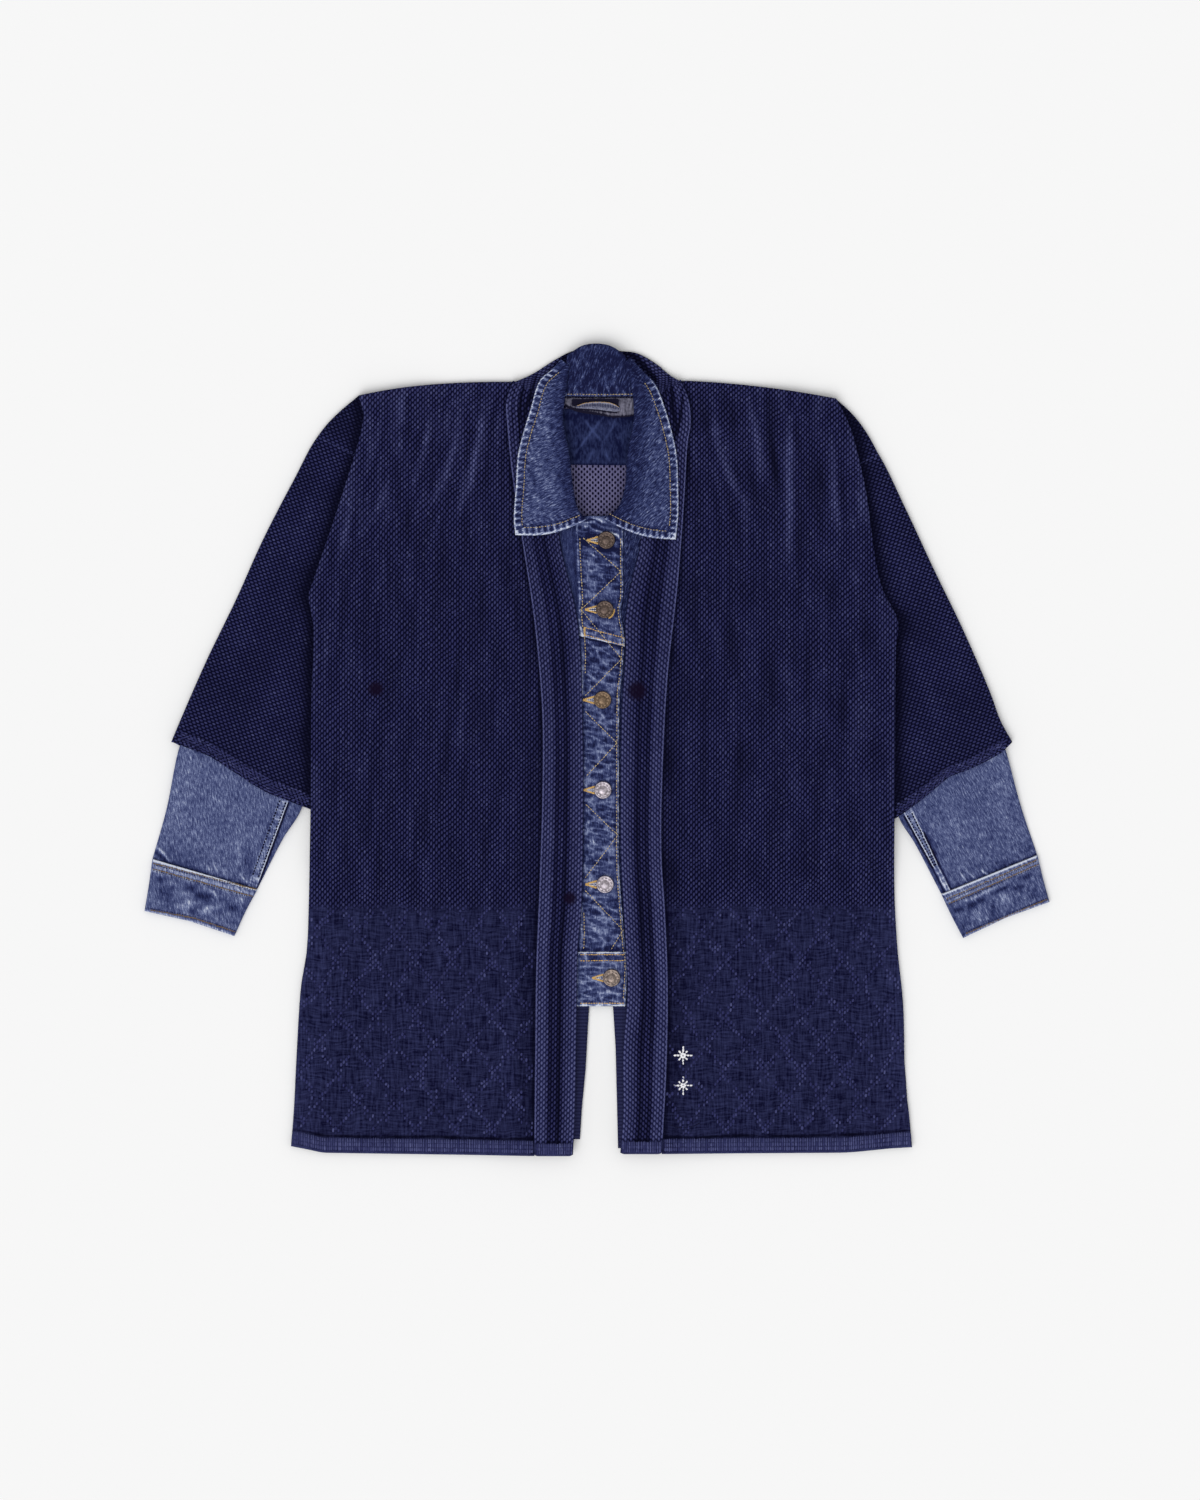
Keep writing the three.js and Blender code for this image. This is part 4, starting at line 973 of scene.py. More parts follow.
def bandShape(side, x, y):
    sign = side["sign"]
    b = bandForm
    seam, inner = side["bandSeam"](y), side["bandInner"](y)
    width = np.abs(inner - seam)
    u = np.clip(np.abs(x - seam) / width, 0, 1)
    fromHem = y - side["hem"](1.0)
    inHem = between(fromHem, b["hemDepth"], b["hemDepth"] - 3)
    ribs = lerp(bandRibs(side, u), 0.35, inHem)
    groove = b["hemGroove"] * bell(fromHem - b["hemDepth"], 1.4)
    rims = np.maximum(roundOver(np.minimum(u, 1 - u) * width, b["edgeRadius"], b["edgeDrop"]),
                      roundOver(fromHem, 3.0, 1.5))
    top = bandBase(y) + b["face"] + ribs - groove - rims + 0.12 * ripple(x, y, 30, 8, 2.0)
    tone = bandShading(u) * lerp(0.62, 1.2, between(y, 190, -240)) * (1 - inHem)
    # ribs painted lighter on their crests, painted shade in the hem groove, and the dark quilting lines and painted
    # shade of the gaps beside the collar
    wear = (tone + 0.12 * (ribs - 0.2) - 0.4 * groove + 0.22 * inHem + 0.25 * bell(fromHem, 1.5)
            - 0.3 * bell(fromHem - 3.4, 0.9) + 0.05 * between(y, 280, 360) + 0.08 * ripple(x, y, 34, 15, 3.0)
            - creaseField(x, y, neckLines[sign]))
    return u, top, wear, inHem


def bandLaid(side):
    def laid(points):
        share = bandShape(side, points[:, 0], points[:, 1])[0]
        return joined(share * bandForm["grainColumns"] * grain["across"], points[:, 1])
    return laid


def makeBand(side, name, node):
    sign = side["sign"]
    b = bandForm
    length = side["bandTop"][0] - side["hem"](1.0)
    down = np.concatenate([np.arange(0, length - 20, b["cell"]), np.arange(length - 19, length - 3, 1.0),
                           length - np.array([2.4, 1.6, 0.9, 0.35, 0])])

    def topLine(u):
        return lerp(*side["bandTop"], u) + 1.2

    def bottomLine(u):
        return side["hem"](1.0) + 1.4 * (bell(u, 0.05) + bell(1 - u, 0.05))
    edges = (side["bandSeam"], side["bandInner"], topLine, bottomLine)
    columns = np.tile(edgedShares(b["wide"], b["edgeColumns"], b["columns"]), (len(down), 1))
    x, y = panelPlan(columns, (down / length)[:, None], edges)
    _, top, wear, turned = bandShape(side, x, y)
    top = joined(x, y, top)
    piece = panelPiece(name, top, edges, (4, 40), lambda px, py: bandBase(py), bandCloth, bandLaid(side),
                       {"wear": wear, "plain": turned})

    def height(px, py):
        return bandShape(side, px, py)[1]
    wide = b["grainColumns"] * grain["across"]
    across, py = latticePlaces((0, wide), (y.min(), y.max())).T
    px = lerp(side["bandSeam"](py), side["bandInner"](py), across / wide)
    fromHem = py - side["hem"](1.0)
    clear = (fromHem > b["hemDepth"] + 3) & (py < lerp(*side["bandTop"], across / wide) - 3)
    leaf = curveLine(side["leafOuter"])(np.linspace(0, 1, 60))[::-1]
    covered = (py > b["leafLow"]) & (np.abs(px) < np.interp(py, leaf[:, 1], np.abs(leaf[:, 0])) - 1.0)
    hollow = sum(bell(across / wide - at, half) for at, half, depth in side["grooves"])
    keep = clear & ~covered & (across > 1.6) & (across < wide - 1.6) & (hollow < 0.45)
    places = joined(px, py)[keep] + rng.normal(0, 0.1, (keep.sum(), 2))
    grains = grainPiece(name + "Grains", places, -grain["lean"], height, bandThreads, bandLaid(side),
                        bandShape(side, *places.T)[2], size=0.95)
    lowSeam, lowInner = (abs(side[k](b["ribsAt"])) for k in ("bandSeam", "bandInner"))
    ribX = np.arange(lowInner + 2, lowSeam - 1.5, b["ribPitch"]) * sign
    ribs = hemRibs(name, b, ribX, lambda px: side["hem"](1.0), height, bandThreads, bandLaid(side))

    # pale line along the seam to the front
    seamY = np.arange(side["bandTop"][0] - 22, side["hem"](1.0) + b["hemDepth"] + 2, -4.0)
    seamRow, seamTurns = stitchRow(joined(side["bandSeam"](seamY) - sign * 1.0, seamY), 2.4, 0.05)
    seamEdge = grainPiece(name + "SeamEdge", seamRow, seamTurns, height, bandThreads, bandLaid(side),
                          0.8 + 0.15 * rng.normal(0, 1, len(seamRow)), size=0.6, longer=1.6)
    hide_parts(node)
    wallArea(top)


def makeNeckBand(side, name, node):
    outer, inner = curveLine(side["neckOuter"]), curveLine(side["neckInner"])
    wide = bandForm["wide"]
    u, v = np.meshgrid(edgedShares(wide, bandForm["edgeColumns"], 34), np.linspace(0, 1, 46))

    def build(u, v, z):
        plan = lerp(outer(v), inner(v), u[..., None])
        rise = layers["overBack"] * (1 - smooth(v / 0.35))
        return np.concatenate([plan, (rise + z)[..., None]], -1)
    rims = roundOver(np.minimum(u, 1 - u) * wide, bandForm["edgeRadius"], bandForm["edgeDrop"])
    ribs = bandRibs(side, u)
    top = build(u, v, bandForm["face"] + ribs - rims)
    uu, vv = np.meshgrid(np.linspace(0, 1, 4), np.linspace(0, 1, 16))
    under = build(uu, vv, 0 * uu)
    laid = np.concatenate([joined(u * wide, v * 100).reshape(-1, 2),
                           joined(uu * wide, vv * 100).reshape(-1, 2)])
    # dark quilting lines, and painted shade in the gaps beside the collar
    wear = (0.3 - creaseField(top[..., 0], top[..., 1], neckLines[side["sign"]])
            + 0.12 * ripple(top[..., 0], top[..., 1], 14, 18))
    piece = makePiece(name, *clothWall(top, under), bandCloth, laid, {"wear": wear})
    standFor(node, "band")
    wallArea(top)


makeBand(leftSide, "bandLeft", "band_left")
makeBand(rightSide, "bandRight", "band_right")
makeNeckBand(leftSide, "neckBandLeft", "band_neck_left")
makeNeckBand(rightSide, "neckBandRight", "band_neck_right")
print("stage: bands")


# Flat tubes: sleeves and cuffs, with round folds at both edges and a flat underside

def flatTube(form, stations):
    v = np.asarray(stations, float)[:, None]
    outer, inner = (curveLine(form[k])(v[:, 0]) for k in ("outer", "inner"))
    width = np.linalg.norm(inner - outer, axis=-1)[:, None]
    tall = form["tall"](v)
    half = tall / 2
    turn = np.linspace(-np.pi / 2, np.pi / 2, 9)
    foldD, foldZ = half * (1 - np.cos(turn)), half * (1 + np.sin(turn))
    share, coarse = (np.linspace(0, 1, count + 1)[1:-1] for count in (form["cells"], 8))
    topD = half + (width - 2 * half) * share
    lowD = width - half - (width - 2 * half) * coarse
    d = np.concatenate([foldD, topD, width - foldD[:, ::-1], lowD], 1)
    z = np.concatenate([foldZ, np.repeat(tall, topD.shape[1], 1), foldZ[:, ::-1], 0 * lowD], 1)
    onFold = smooth((foldZ / tall - 0.5) * 2)
    upper = np.concatenate([onFold, np.ones(topD.shape), onFold[:, ::-1], np.zeros(lowD.shape)], 1)

    def plan(d):
        u = d / width
        x = lerp(outer[:, :1], inner[:, :1], u)
        return x, lerp(outer[:, 1:], inner[:, 1:], u) + form["sag"](u, v), u
    x, y, u = plan(d)
    relief, wear = form["relief"](x, y, u, v)
    lift = form["base"](v)
    outerRings = joined(x, y, lift + z + relief * upper)
    wall = form["wall"]
    corner = 1.2 * wall
    few = np.linspace(0, 1, 5)
    span = width - 2 * corner
    innerD = np.concatenate([wall + 0 * width, corner + span * few, width - wall,
                             width - corner - span * few[::2]], 1)
    innerZ = np.concatenate([half, np.repeat(tall - wall, 5, 1), half, np.full((len(v), 3), wall)], 1)
    ix, iy, _ = plan(innerD)
    inside = joined(ix, iy, lift + innerZ)
    step = max(1, len(v) // 24)
    innerRings = np.concatenate([inside[::step], inside[-1:]]) if step > 1 else inside
    shown = slice(4, 2 * len(turn) + len(share) - 4)
    return outerRings, innerRings, wear * upper, np.concatenate([outerRings, wear[..., None]], -1)[:, shown]


# the piece, the area of its cloth, and its upper side as points with wear and painted shade
def tubePiece(name, node, slotName, form, stations, finish, cloth):
    rings, innerRings, wear, top = flatTube(form, stations)
    piece = makePiece(name, *clothWall(rings, innerRings, tube=True), finish, cloth, {"wear": wear})
    standFor(node, slotName)
    return piece, wallArea(rings), top


# height of a made surface at plan points, from its nearest points
class Surface:
    def __init__(self, *grids):
        self.points = np.concatenate([g.reshape(-1, g.shape[-1]) for g in grids])
        self.tree = KDTree(len(self.points))
        for i, p in enumerate(self.points):
            self.tree.insert((p[0], p[1], 0), i)
        self.tree.balance()

    def find(self, x, y, column=2):
        result = np.empty(np.size(x))
        for k, (px, py) in enumerate(zip(np.ravel(x), np.ravel(y))):
            found = self.tree.find_n((px, py, 0), 3)
            weights = np.array([1 / (away + 0.05) for _, _, away in found])
            result[k] = (weights * self.points[[i for _, i, _ in found], column]).sum() / weights.sum()
        return result.reshape(np.shape(x))

    def away(self, x, y):
        return np.array([self.tree.find((px, py, 0))[2] for px, py in zip(x, y)])


sleeveForm = {"tall": 6.2, "tallHem": 9.0, "wall": 2.5, "seam": 1 / 7, "seamShare": 0.0012, "hemShare": 0.938,
              "cells": 46, "stations": 120, "grainTurn": 27.3}
sleeveCreases = {
    -1: creaseRows(
        (8, 0.9, -262, 300, -300, 210, -318, 140), (9, 0.8, -300, 250, -345, 150, -372, 70),
        (10, 0.9, -296, 130, -320, 60, -345, 10), (8, 0.6, -300, 40, -320, 0, -330, -30),
        (6, -0.6, -290, 190, -305, 130, -306, 70)),
    1: creaseRows(
        (8, 0.9, 268, 290, 300, 200, 320, 130), (9, 0.8, 300, 230, 340, 150, 372, 70),
        (10, 0.9, 308, 120, 330, 60, 350, 10), (8, 0.6, 312, 30, 332, -10, 345, -30),
        (6, -0.6, 306, 170, 316, 110, 314, 60)),
}


# points at shares down both edges of a sleeve
def sleeveEnds(side, v):
    return [curveLine(side[k])(np.asarray(v, float)) for k in ("sleeveOuter", "sleeveInner")]


def sleeveTall(v):
    return lerp(sleeveForm["tall"], sleeveForm["tallHem"], smooth((v - 0.62) / 0.2))


def makeSleeve(side, label):
    sign = side["sign"]
    s = sleeveForm
    end = np.concatenate([np.arange(0.953, 0.99, 0.0027), [0.992, 0.994, 0.996, 0.998, 1.0]])
    groups = (("dropShoulder", "drop_shoulder", np.linspace(0, s["seam"] + s["seamShare"], 22)),
              ("sleeve", "sleeve", np.concatenate([np.linspace(s["seam"] - s["seamShare"], 0.93, s["stations"]),
                                                   [0.935, 0.94, 0.945, 0.95], end])))
    turn = math.radians(s["grainTurn"]) * sign
    across = np.array([math.cos(turn), math.sin(turn)])  # long way of the grains, across the sleeve
    down = np.array([math.sin(turn), -math.cos(turn)])

    def laid(points):
        return joined(points[:, :2] @ down, points[:, :2] @ across)

    def relief(x, y, u, v):
        fade = smooth((v - s["seam"]) / 0.1)
        folds = creaseField(x, y, sleeveCreases[sign]) * fade * smooth((0.93 - v) / 0.05)
        groove = 0.5 * bell(v - s["hemShare"], 0.0045)
        lines = 0.22 * np.cos(2 * np.pi * (v - s["hemShare"]) / 0.0125) * between(v, 0.947, 0.955)
        rim = roundOver((1 - v) * 345, 3.0, 1.6)
        atSeam = 0.7 * bell(v - s["seam"], 0.006)
        fromBody = np.abs(x) - np.abs(side["sideEdge"](y))
        # fold crests and hem lines painted lighter and their troughs darker as painted shading; painted shade in the
        # hem groove and a painted shadow along the body's edge
        wear = (-0.09 + 0.12 * folds + 0.22 * bell(u, 0.02) + 0.2 * bell(v - s["seam"] - 0.006, 0.005)
                - 0.4 * groove + 0.2 * bell(1 - v, 0.005) + 0.6 * lines - 0.12 * bell(v - 0.985, 0.004)
                - 0.45 * bell(fromBody, 9) - 0.12 * between(v, 0.16, 0.10) + 0.06 * ripple(x, y, 60, 21))
        return folds + lines - groove - rim - atSeam + 0.1 * ripple(x, y, 40, 9), wear

    def sag(u, v):
        bulge = side["bulge"] * np.sin(np.pi * np.clip(v / s["seam"], 0, 1)) * (1 - u) ** 2
        return side["hemSag"](u) * v ** 8 + bulge
    form = {**s, "outer": side["sleeveOuter"], "inner": side["sleeveInner"], "tall": sleeveTall,
            "base": lambda v: 0 * v, "sag": sag, "relief": relief}
    tubes = [tubePiece(name + label, f"{node}_{label.lower()}", "sashiko", form, stations, sleeveCloth, laid)
             for name, node, stations in groups]
    surface = Surface(*(top for _, _, top in tubes))
    corners = surface.points[:, :2]
    plan = joined(corners @ down, corners @ across)
    lattice = latticePlaces((plan[:, 0].min(), plan[:, 0].max()), (plan[:, 1].min(), plan[:, 1].max()))
    places = lattice[:, :1] * down + lattice[:, 1:] * across
    px, py = places.T
    keep = (np.abs(px) > np.abs(side["sideEdge"](py)) + 0.8) | (py < -92)
    places = places[keep]
    places = places[surface.away(*places.T) < 2.2]
    ends = sleeveEnds(side, np.linspace(0, 1, 300))
    for edge, far in (ends, ends[::-1]):
        near = np.argmin(((places[:, None] - edge) ** 2).sum(-1), axis=1)
        inward = (far - edge) / np.linalg.norm(far - edge, axis=1)[:, None]
        places = places[((places - edge[near]) * inward[near]).sum(-1) > 2.4]
    (hemA, hemB), (seamA, seamB) = (sleeveEnds(side, v) for v in (0.94, s["seam"]))
    hemLine, seamLine = hemB - hemA, seamB - seamA
    hemNormal = np.array([-hemLine[1], hemLine[0]]) / np.linalg.norm(hemLine)
    hemNormal *= np.sign(hemNormal[1])
    seamNormal = np.array([-seamLine[1], seamLine[0]]) / np.linalg.norm(seamLine)
    hemShare = np.clip((places - hemA) @ hemLine / (hemLine @ hemLine), 0, 1)
    overHem = (places - hemA) @ hemNormal - side["hemSag"](hemShare) * 0.6
    places = places[(overHem > 2.5) & (np.abs((places - seamA) @ seamNormal) > 2.0)]
    places = places + rng.normal(0, 0.1, places.shape)
    grains = grainPiece("sleeveGrains" + label, places, turn - math.pi / 2, surface.find, sleeveThreads, laid,
                        surface.find(*places.T, 3), size=0.97)
    # threads of the turned hem, in rows along its edge
    hemRows = []
    for k, v in enumerate(np.linspace(0.946, 0.991, 6)):
        a, b = sleeveEnds(side, v)
        u = np.linspace(0.03 + 0.014 * (k % 2), 0.98, 60)[:, None]
        hemRows.append(stitchRow(lerp(a, b, u) + np.concatenate([0 * u, side["hemSag"](u) * v ** 8], 1), 4.4))
    hemPlaces, hemTurns = (np.concatenate(part) for part in zip(*hemRows))
    shown = (np.abs(hemPlaces[:, 0]) > np.abs(side["sideEdge"](hemPlaces[:, 1])) + 0.8) | (hemPlaces[:, 1] < -92)
    hemPlaces, hemTurns = hemPlaces[shown], hemTurns[shown]
    hemThreads = grainPiece("sleeveHemThreads" + label, hemPlaces, hemTurns, surface.find, sleeveThreads, laid,
                            0.02 + 0.16 * rng.normal(0, 1, len(hemPlaces)), size=0.95, longer=1.1)
    return surface


sleeveSurfaces = {side["sign"]: makeSleeve(side, label) for side, label in bothSides}
print("stage: sashiko sleeves")


# Denim lower sleeves and cuffs

# how far a point lies along a line (0 to 1) and to its right side
def alongLine(x, y, line):
    (ax, ay), (bx, by) = line
    dx, dy = bx - ax, by - ay
    run = math.hypot(dx, dy)
    return ((x - ax) * dx + (y - ay) * dy) / run ** 2, ((y - ay) * dx - (x - ax) * dy) / -run


denimSleeveForm = {"tall": 3.2, "wall": 1.2, "cells": 116, "stations": 100, "hidden": (0.24, 0.33)}
felledSeams = {
    -1: {"line": fromPhoto((283.5, 800.8), (255.5, 877)), "half": (4.1, 4.1), "edges": (1,), "gaps": ((1, 0.0),)},
    1: {"line": fromPhoto((908.8, 813.6), (935.4, 866)), "half": (3.6, 1.8), "edges": (-1, 1),
        "gaps": ((-1, 0.0), (1, 0.4))},
}
denimSleeveCreases = {
    -1: photoCreases(
        (1.8, -0.6, 195, 749, 204, 760), (1.3, 0.9, 157, 846, 165, 854, 169, 861), (2, -1, 155, 851, 167, 861),
        (1, 0.7, 207, 864, 210, 871), (1, 0.8, 213, 863, 218, 872), (1.2, 0.4, 200, 862, 204, 869),
        (0.9, 0.8, 241, 875, 247, 882), (1.2, 0.5, 224, 868, 225, 876), (8, -0.35, 160, 842, 180, 860, 200, 866),
        (3, 0.3, 238, 838, 240, 862), (5, -0.4, 248, 850, 250, 876), (4, -0.35, 280, 806, 262, 848)),
    1: photoCreases(
        (1, 0.8, 959, 872, 968, 883), (1, 0.8, 966, 871, 978, 881), (1.1, 0.9, 981, 870, 991, 877),
        (1, 0.8, 940, 881, 950, 891), (4, -0.5, 919, 822, 932, 846, 938, 872), (6, -0.5, 1022, 846, 1034, 852),
        (4, 0.25, 948, 812, 962, 842), (3, 0.2, 935, 820, 965, 860), (4, -0.35, 992, 868, 1014, 860),
        (5, -0.25, 1010, 800, 1020, 830)),
}
denimSurfaces = {}


def makeDenimSleeve(side, label):
    sign = side["sign"]
    s = denimSleeveForm
    felled = felledSeams[sign]

    def relief(x, y, u, v):
        shown = between(v, *s["hidden"])
        folds = creaseField(x, y, denimSleeveCreases[sign]) * shown
        along, aside = alongLine(x, y, felled["line"])
        half = lerp(*felled["half"], np.clip(along, 0, 1))
        strip = between(np.abs(aside), half + 0.7, half) * shown
        # the seam's free edges stand pale beside gaps painted dark as shade
        edge = sum(bell(aside * -k - half - 0.2, 0.8) for k in felled["edges"]) * shown
        gap = sum(bell(aside * -k - half - 1.9, 1.0) * between(along, start - 0.05, start + 0.05)
                  for k, start in felled["gaps"]) * shown
        ladder = np.sin(2 * np.pi * along * 26) * 0.5 + np.sin(2 * np.pi * along * 9 + 1) * 0.4
        gather = between(v, 0.8, 0.97) * 0.35 * ripple(x, y, 7, 31 + sign, 0.7)
        z = (folds + 0.45 * strip - 0.4 * gap + gather - 0.5 * bell(1 - v, 0.012)
             + 0.15 * ripple(x, y, 26, 17) * shown)
        # folds and gathers painted lighter on their crests and darker in their troughs as painted shading; painted
        # shade in the seam's gaps, at the cuff end and along both folded sides
        wear = (0.03 + 0.9 * folds + strip * (0.26 + 0.34 * ladder) + 0.7 * edge - 1.1 * gap
                + 0.5 * gather + 0.05 * ripple(x, y, 34, 19) - 0.55 * bell(1 - v, 0.016) + 0.14 * between(u, 0.3, 0.0)
                - 0.18 * bell(u, 0.03) - 0.16 * bell(u - 1, 0.05))
        return z, wear
    form = {**s, "outer": side["denimOuter"], "inner": side["denimInner"], "tall": lambda v: s["tall"] + 0 * v,
            "base": lambda v: layers["overBack"] * (1 - smooth((v - 0.5) / 0.4)), "sag": lambda u, v: 0 * u,
            "relief": relief}
    stations = np.concatenate([np.linspace(0, 0.9, s["stations"])[:-1], np.linspace(0.9, 1, 18)])
    piece, area, top = tubePiece("lowerSleeve" + label, f"denim_sleeve_{label.lower()}", "denim", form, stations,
                                 denimSleeves[sign], flatCloth)
    "sleeve" + label
    denimSurfaces["sleeve", sign] = Surface(top)


cuffForm = {"tall": 5.4, "wall": 2.2, "cells": 84, "stations": 56, "band": 0.2, "rowsAt": (0.075, 0.17, 0.93),
            "long": 52}
cuffCreases = {
    -1: photoCreases(
        (4.5, -0.8, 197, 893, 206, 898, 214, 896), (3, -0.7, 186, 887, 198, 889), (4, -0.5, 156, 876, 165, 882),
        (4, -0.5, 226, 903, 240, 911), (3, -0.5, 190, 908, 196, 916), (6, -0.4, 160, 889, 172, 900),
        (1.8, 0.6, 205, 886, 214, 892, 218, 900), (4, 0.5, 186, 895, 190, 905, 182, 912),
        (4, 0.4, 208, 904, 206, 914), (2.5, 0.4, 238, 897, 246, 899)),
    1: photoCreases(
        (3.2, -0.8, 966, 907, 976, 903), (2.6, -0.7, 978, 901, 985, 898), (1.6, -0.7, 993, 893, 1004, 888, 1010, 885),
        (2.6, -0.7, 1012, 889, 1022, 886), (2.6, -0.5, 994, 898, 993, 908, 991, 920),
        (2.5, -0.5, 1022, 880, 1032, 874), (2.4, -0.6, 952, 911, 962, 908), (5, 0.5, 1000, 900, 1008, 896),
        (5, 0.4, 975, 918, 982, 914), (1.6, 0.5, 958, 903, 975, 897, 1000, 884), (5, -0.3, 960, 920, 968, 926),
        (5, -0.3, 1030, 895, 1040, 893)),
}


def makeCuff(side, label):
    sign = side["sign"]
    s = cuffForm

    def relief(x, y, u, v):
        onFace = between(v, s["band"], s["band"] + 0.1)
        folds = creaseField(x, y, cuffCreases[sign]) * onFace * smooth((1 - v) / 0.1)
        puckers = 0.25 * ripple(x, y, 8, 40 + sign) * between(v, 0.12, 0.3) * smooth((1 - v) / 0.12)
        rows = sum(0.3 * bell(v - at, 0.02) for at in s["rowsAt"])
        z = folds * 0.9 + puckers - rows - roundOver((1 - v) * s["long"], 1.8, 1.2) - 0.3 * bell(v, 0.02)
        # folds and puckers painted lighter on their crests and darker in their troughs as painted shading, with
        # painted shade in the grooves of the stitch rows; the pale top and bottom are wear
        wear = (0.02 + 1.15 * folds + 0.8 * puckers + 1.1 * bell(v - 0.02, 0.022) + 0.44 * between(v, 0.25, 0.2)
                - 0.9 * rows + 0.6 * bell(1 - v, 0.032) - 0.5 * bell(v - 0.045, 0.012)
                + 0.06 * ripple(x, y, 20, 44) - 0.2 * between(u, 0.92, 1.0))
        return z, wear
    form = {**s, "outer": side["cuffOuter"], "inner": side["cuffInner"], "tall": lambda v: s["tall"] + 0 * v,
            "base": lambda v: 0 * v, "sag": lambda u, v: 2.5 * np.sin(np.pi * u) * v, "relief": relief}
    piece, area, top = tubePiece("cuff" + label, f"cuff_{label.lower()}", "denim", form,
                                 np.linspace(0, 1, s["stations"]), denimSleeves[sign], flatCloth)
    denimSurfaces["cuff", sign] = Surface(top)


for side, label in bothSides:
    makeDenimSleeve(side, label)
    makeCuff(side, label)
print("stage: denim sleeves and cuffs")


# Back panel in two halves joined above the vent slit, then thickened

backForm = {"thick": 2.5, "columns": 36, "slitTop": -130.0}
backOutlines = {
    -1: {"turnIn": (-285, -80), "hem": (-388, -389),
         "slit": [(3, -130), (-8, -259), (-11.4, -320), (-15, -357), (-17, -389)],
         "top": [(-221, 352), (-204, 361), (-147, 364), (-84, 367), (-58, 356), (-22, 352.6), (0, 352)]},
    1: {"turnIn": (296.5, -92), "hem": (-388, -398),
        "slit": [(3, -130), (16, -257), (18.5, -296), (20, -355), (21, -398)],
        "top": [(222, 351), (212, 355), (172, 361), (114, 367), (84, 368), (58, 356), (22, 352.6), (0, 352)]},
}


def backHalf(side):
    sign = side["sign"]
    outline = backOutlines[sign]
    seam, apart = sleeveForm["seam"], sleeveForm["seamShare"]
    v = np.concatenate([np.linspace(0, seam - apart, 4), np.linspace(seam + apart, 0.95, 12), [0.965, 0.98, 1]])
    line = curveLine(side["sleeveInner"])(v) - np.array([sign * 0.3, 0])
    lowY = np.array([-110, -150, -195, -240, -300, -360, -388.0])
    low = joined(side["sideEdge"](lowY) - sign * 0.5, lowY)
    edge = np.vstack([outline["top"][:1], line, [outline["turnIn"]], low])
    middle = np.array([(0, 353)] + outline["slit"], float)
    topShare, topY = np.array([(1 - x / outline["top"][0][0], y) for x, y in outline["top"]]).T
    u = np.linspace(0, 1, backForm["columns"] + 1)
    rowsY = np.concatenate([np.linspace(1, 0, 66), np.linspace(0, -1, 36)[1:]])[:, None]
    top = np.interp(u, topShare, topY)
    bottom = lerp(*outline["hem"], smooth(u / 0.5))
    split = backForm["slitTop"]
    y = split + np.where(rowsY >= 0, top - split, split - bottom) * rowsY
    left = np.interp(-y, -edge[:, 1], edge[:, 0])
    inner = np.interp(-y, -middle[:, 1], middle[:, 0])
    return joined(lerp(left, inner, u), y, backForm["thick"])


def makeBack():
    left, right = backHalf(leftSide), backHalf(rightSide)[:, ::-1]
    index = np.arange(left.shape[0] * left.shape[1]).reshape(left.shape[:2])
    quads = np.concatenate([gridFaces(index), gridFaces(index + index.size)])
    points = np.concatenate([left.reshape(-1, 3), right.reshape(-1, 3)])
    piece = makePiece("backPanel", points, quads, noTriangles, insideCloth, flatCloth, closed=False)
    bpy.ops.object.mode_set(mode="EDIT")
    bpy.ops.mesh.select_all(action="SELECT")
    bpy.ops.mesh.remove_doubles(threshold=0.00005)
    bpy.ops.mesh.normals_make_consistent(inside=False)
    bpy.ops.object.mode_set(mode="OBJECT")
    up = sum(p.normal.z for p in piece.data.polygons)
    thick = piece.modifiers.new("thick", "SOLIDIFY")
    thick.thickness, thick.offset = backForm["thick"] * mm, -1.0 if up > 0 else 1.0
    bpy.ops.object.modifier_apply(modifier="thick")
    standFor("back", "lining")
    wallArea(left) + wallArea(right)


makeBack()
print("stage: back")


# Denim fronts: the buttonhole side in three pieces over the button side

buttonPlaces = [(9.3, 209.6), (7.7, 140.3), (5.5, 50), (5.9, -40), (8, -134.2), (14.6, -227.6)]
placket = {"wall": 2.4, "underWall": 1.2, "underEdge": -9, "cell": 1.35, "columns": 56, "top": 234,
           "waist": -201.2, "hem": -256}
lappedEdge = edgeLine([(26, 245), (26, 190), (26, 152), (23.5, 141), (27.8, 110), (26.4, 90), (25.2, 75), (23, 60),
                       (22.3, 30), (22, -50), (22.4, -120), (25, -157), (28.2, -195), (30.5, -212), (28.4, -256)])
placketRidge = edgeLine([(-21, 245), (-19.7, 196), (-18.7, 173), (-17.6, 152), (-18.2, 131), (-15, 109.5),
                         (-14.8, 80), (-15.2, 60), (-17, 40), (-17.5, -40), (-17.5, -130), (-16.2, -160),
                         (-16.4, -200), (-21, -208), (-21, -256)])
lappedInner = edgeLine([(-54, 245), (-46, 130), (-38, 60), (-36, -60), (-42, -256)])
placketCreases = photoCreases(
    (1.6, 0.6, 579.5, 595.7, 614, 593.8), (1.6, 0.5, 584.6, 616, 607.5, 623.8, 621.6, 627.6),
    (1.4, 0.6, 596, 646.7, 598.6, 657, 602, 662), (1.5, -0.7, 583, 662, 597, 662, 601, 668, 607.5, 670),
    (1.4, 0.6, 586, 672, 595, 678.6, 598.6, 682), (1.2, 0.5, 607.5, 690, 615, 695), (1.6, 0.5, 588, 720, 600, 727),
    (1.8, 0.6, 596, 742, 604, 752, 612, 756), (1.5, -0.6, 590, 762, 602, 768), (1.6, 0.5, 594, 812, 603, 822),
    (1.6, 0.6, 600, 846, 610, 852), (1.6, -0.5, 588, 856, 598, 864), (1.6, 0.6, 594, 905, 606, 914),
    (1.4, 0.4, 604, 930, 612, 938), (1.6, 0.5, 590, 566, 602, 574), (1.5, -0.5, 600, 584, 614, 580))


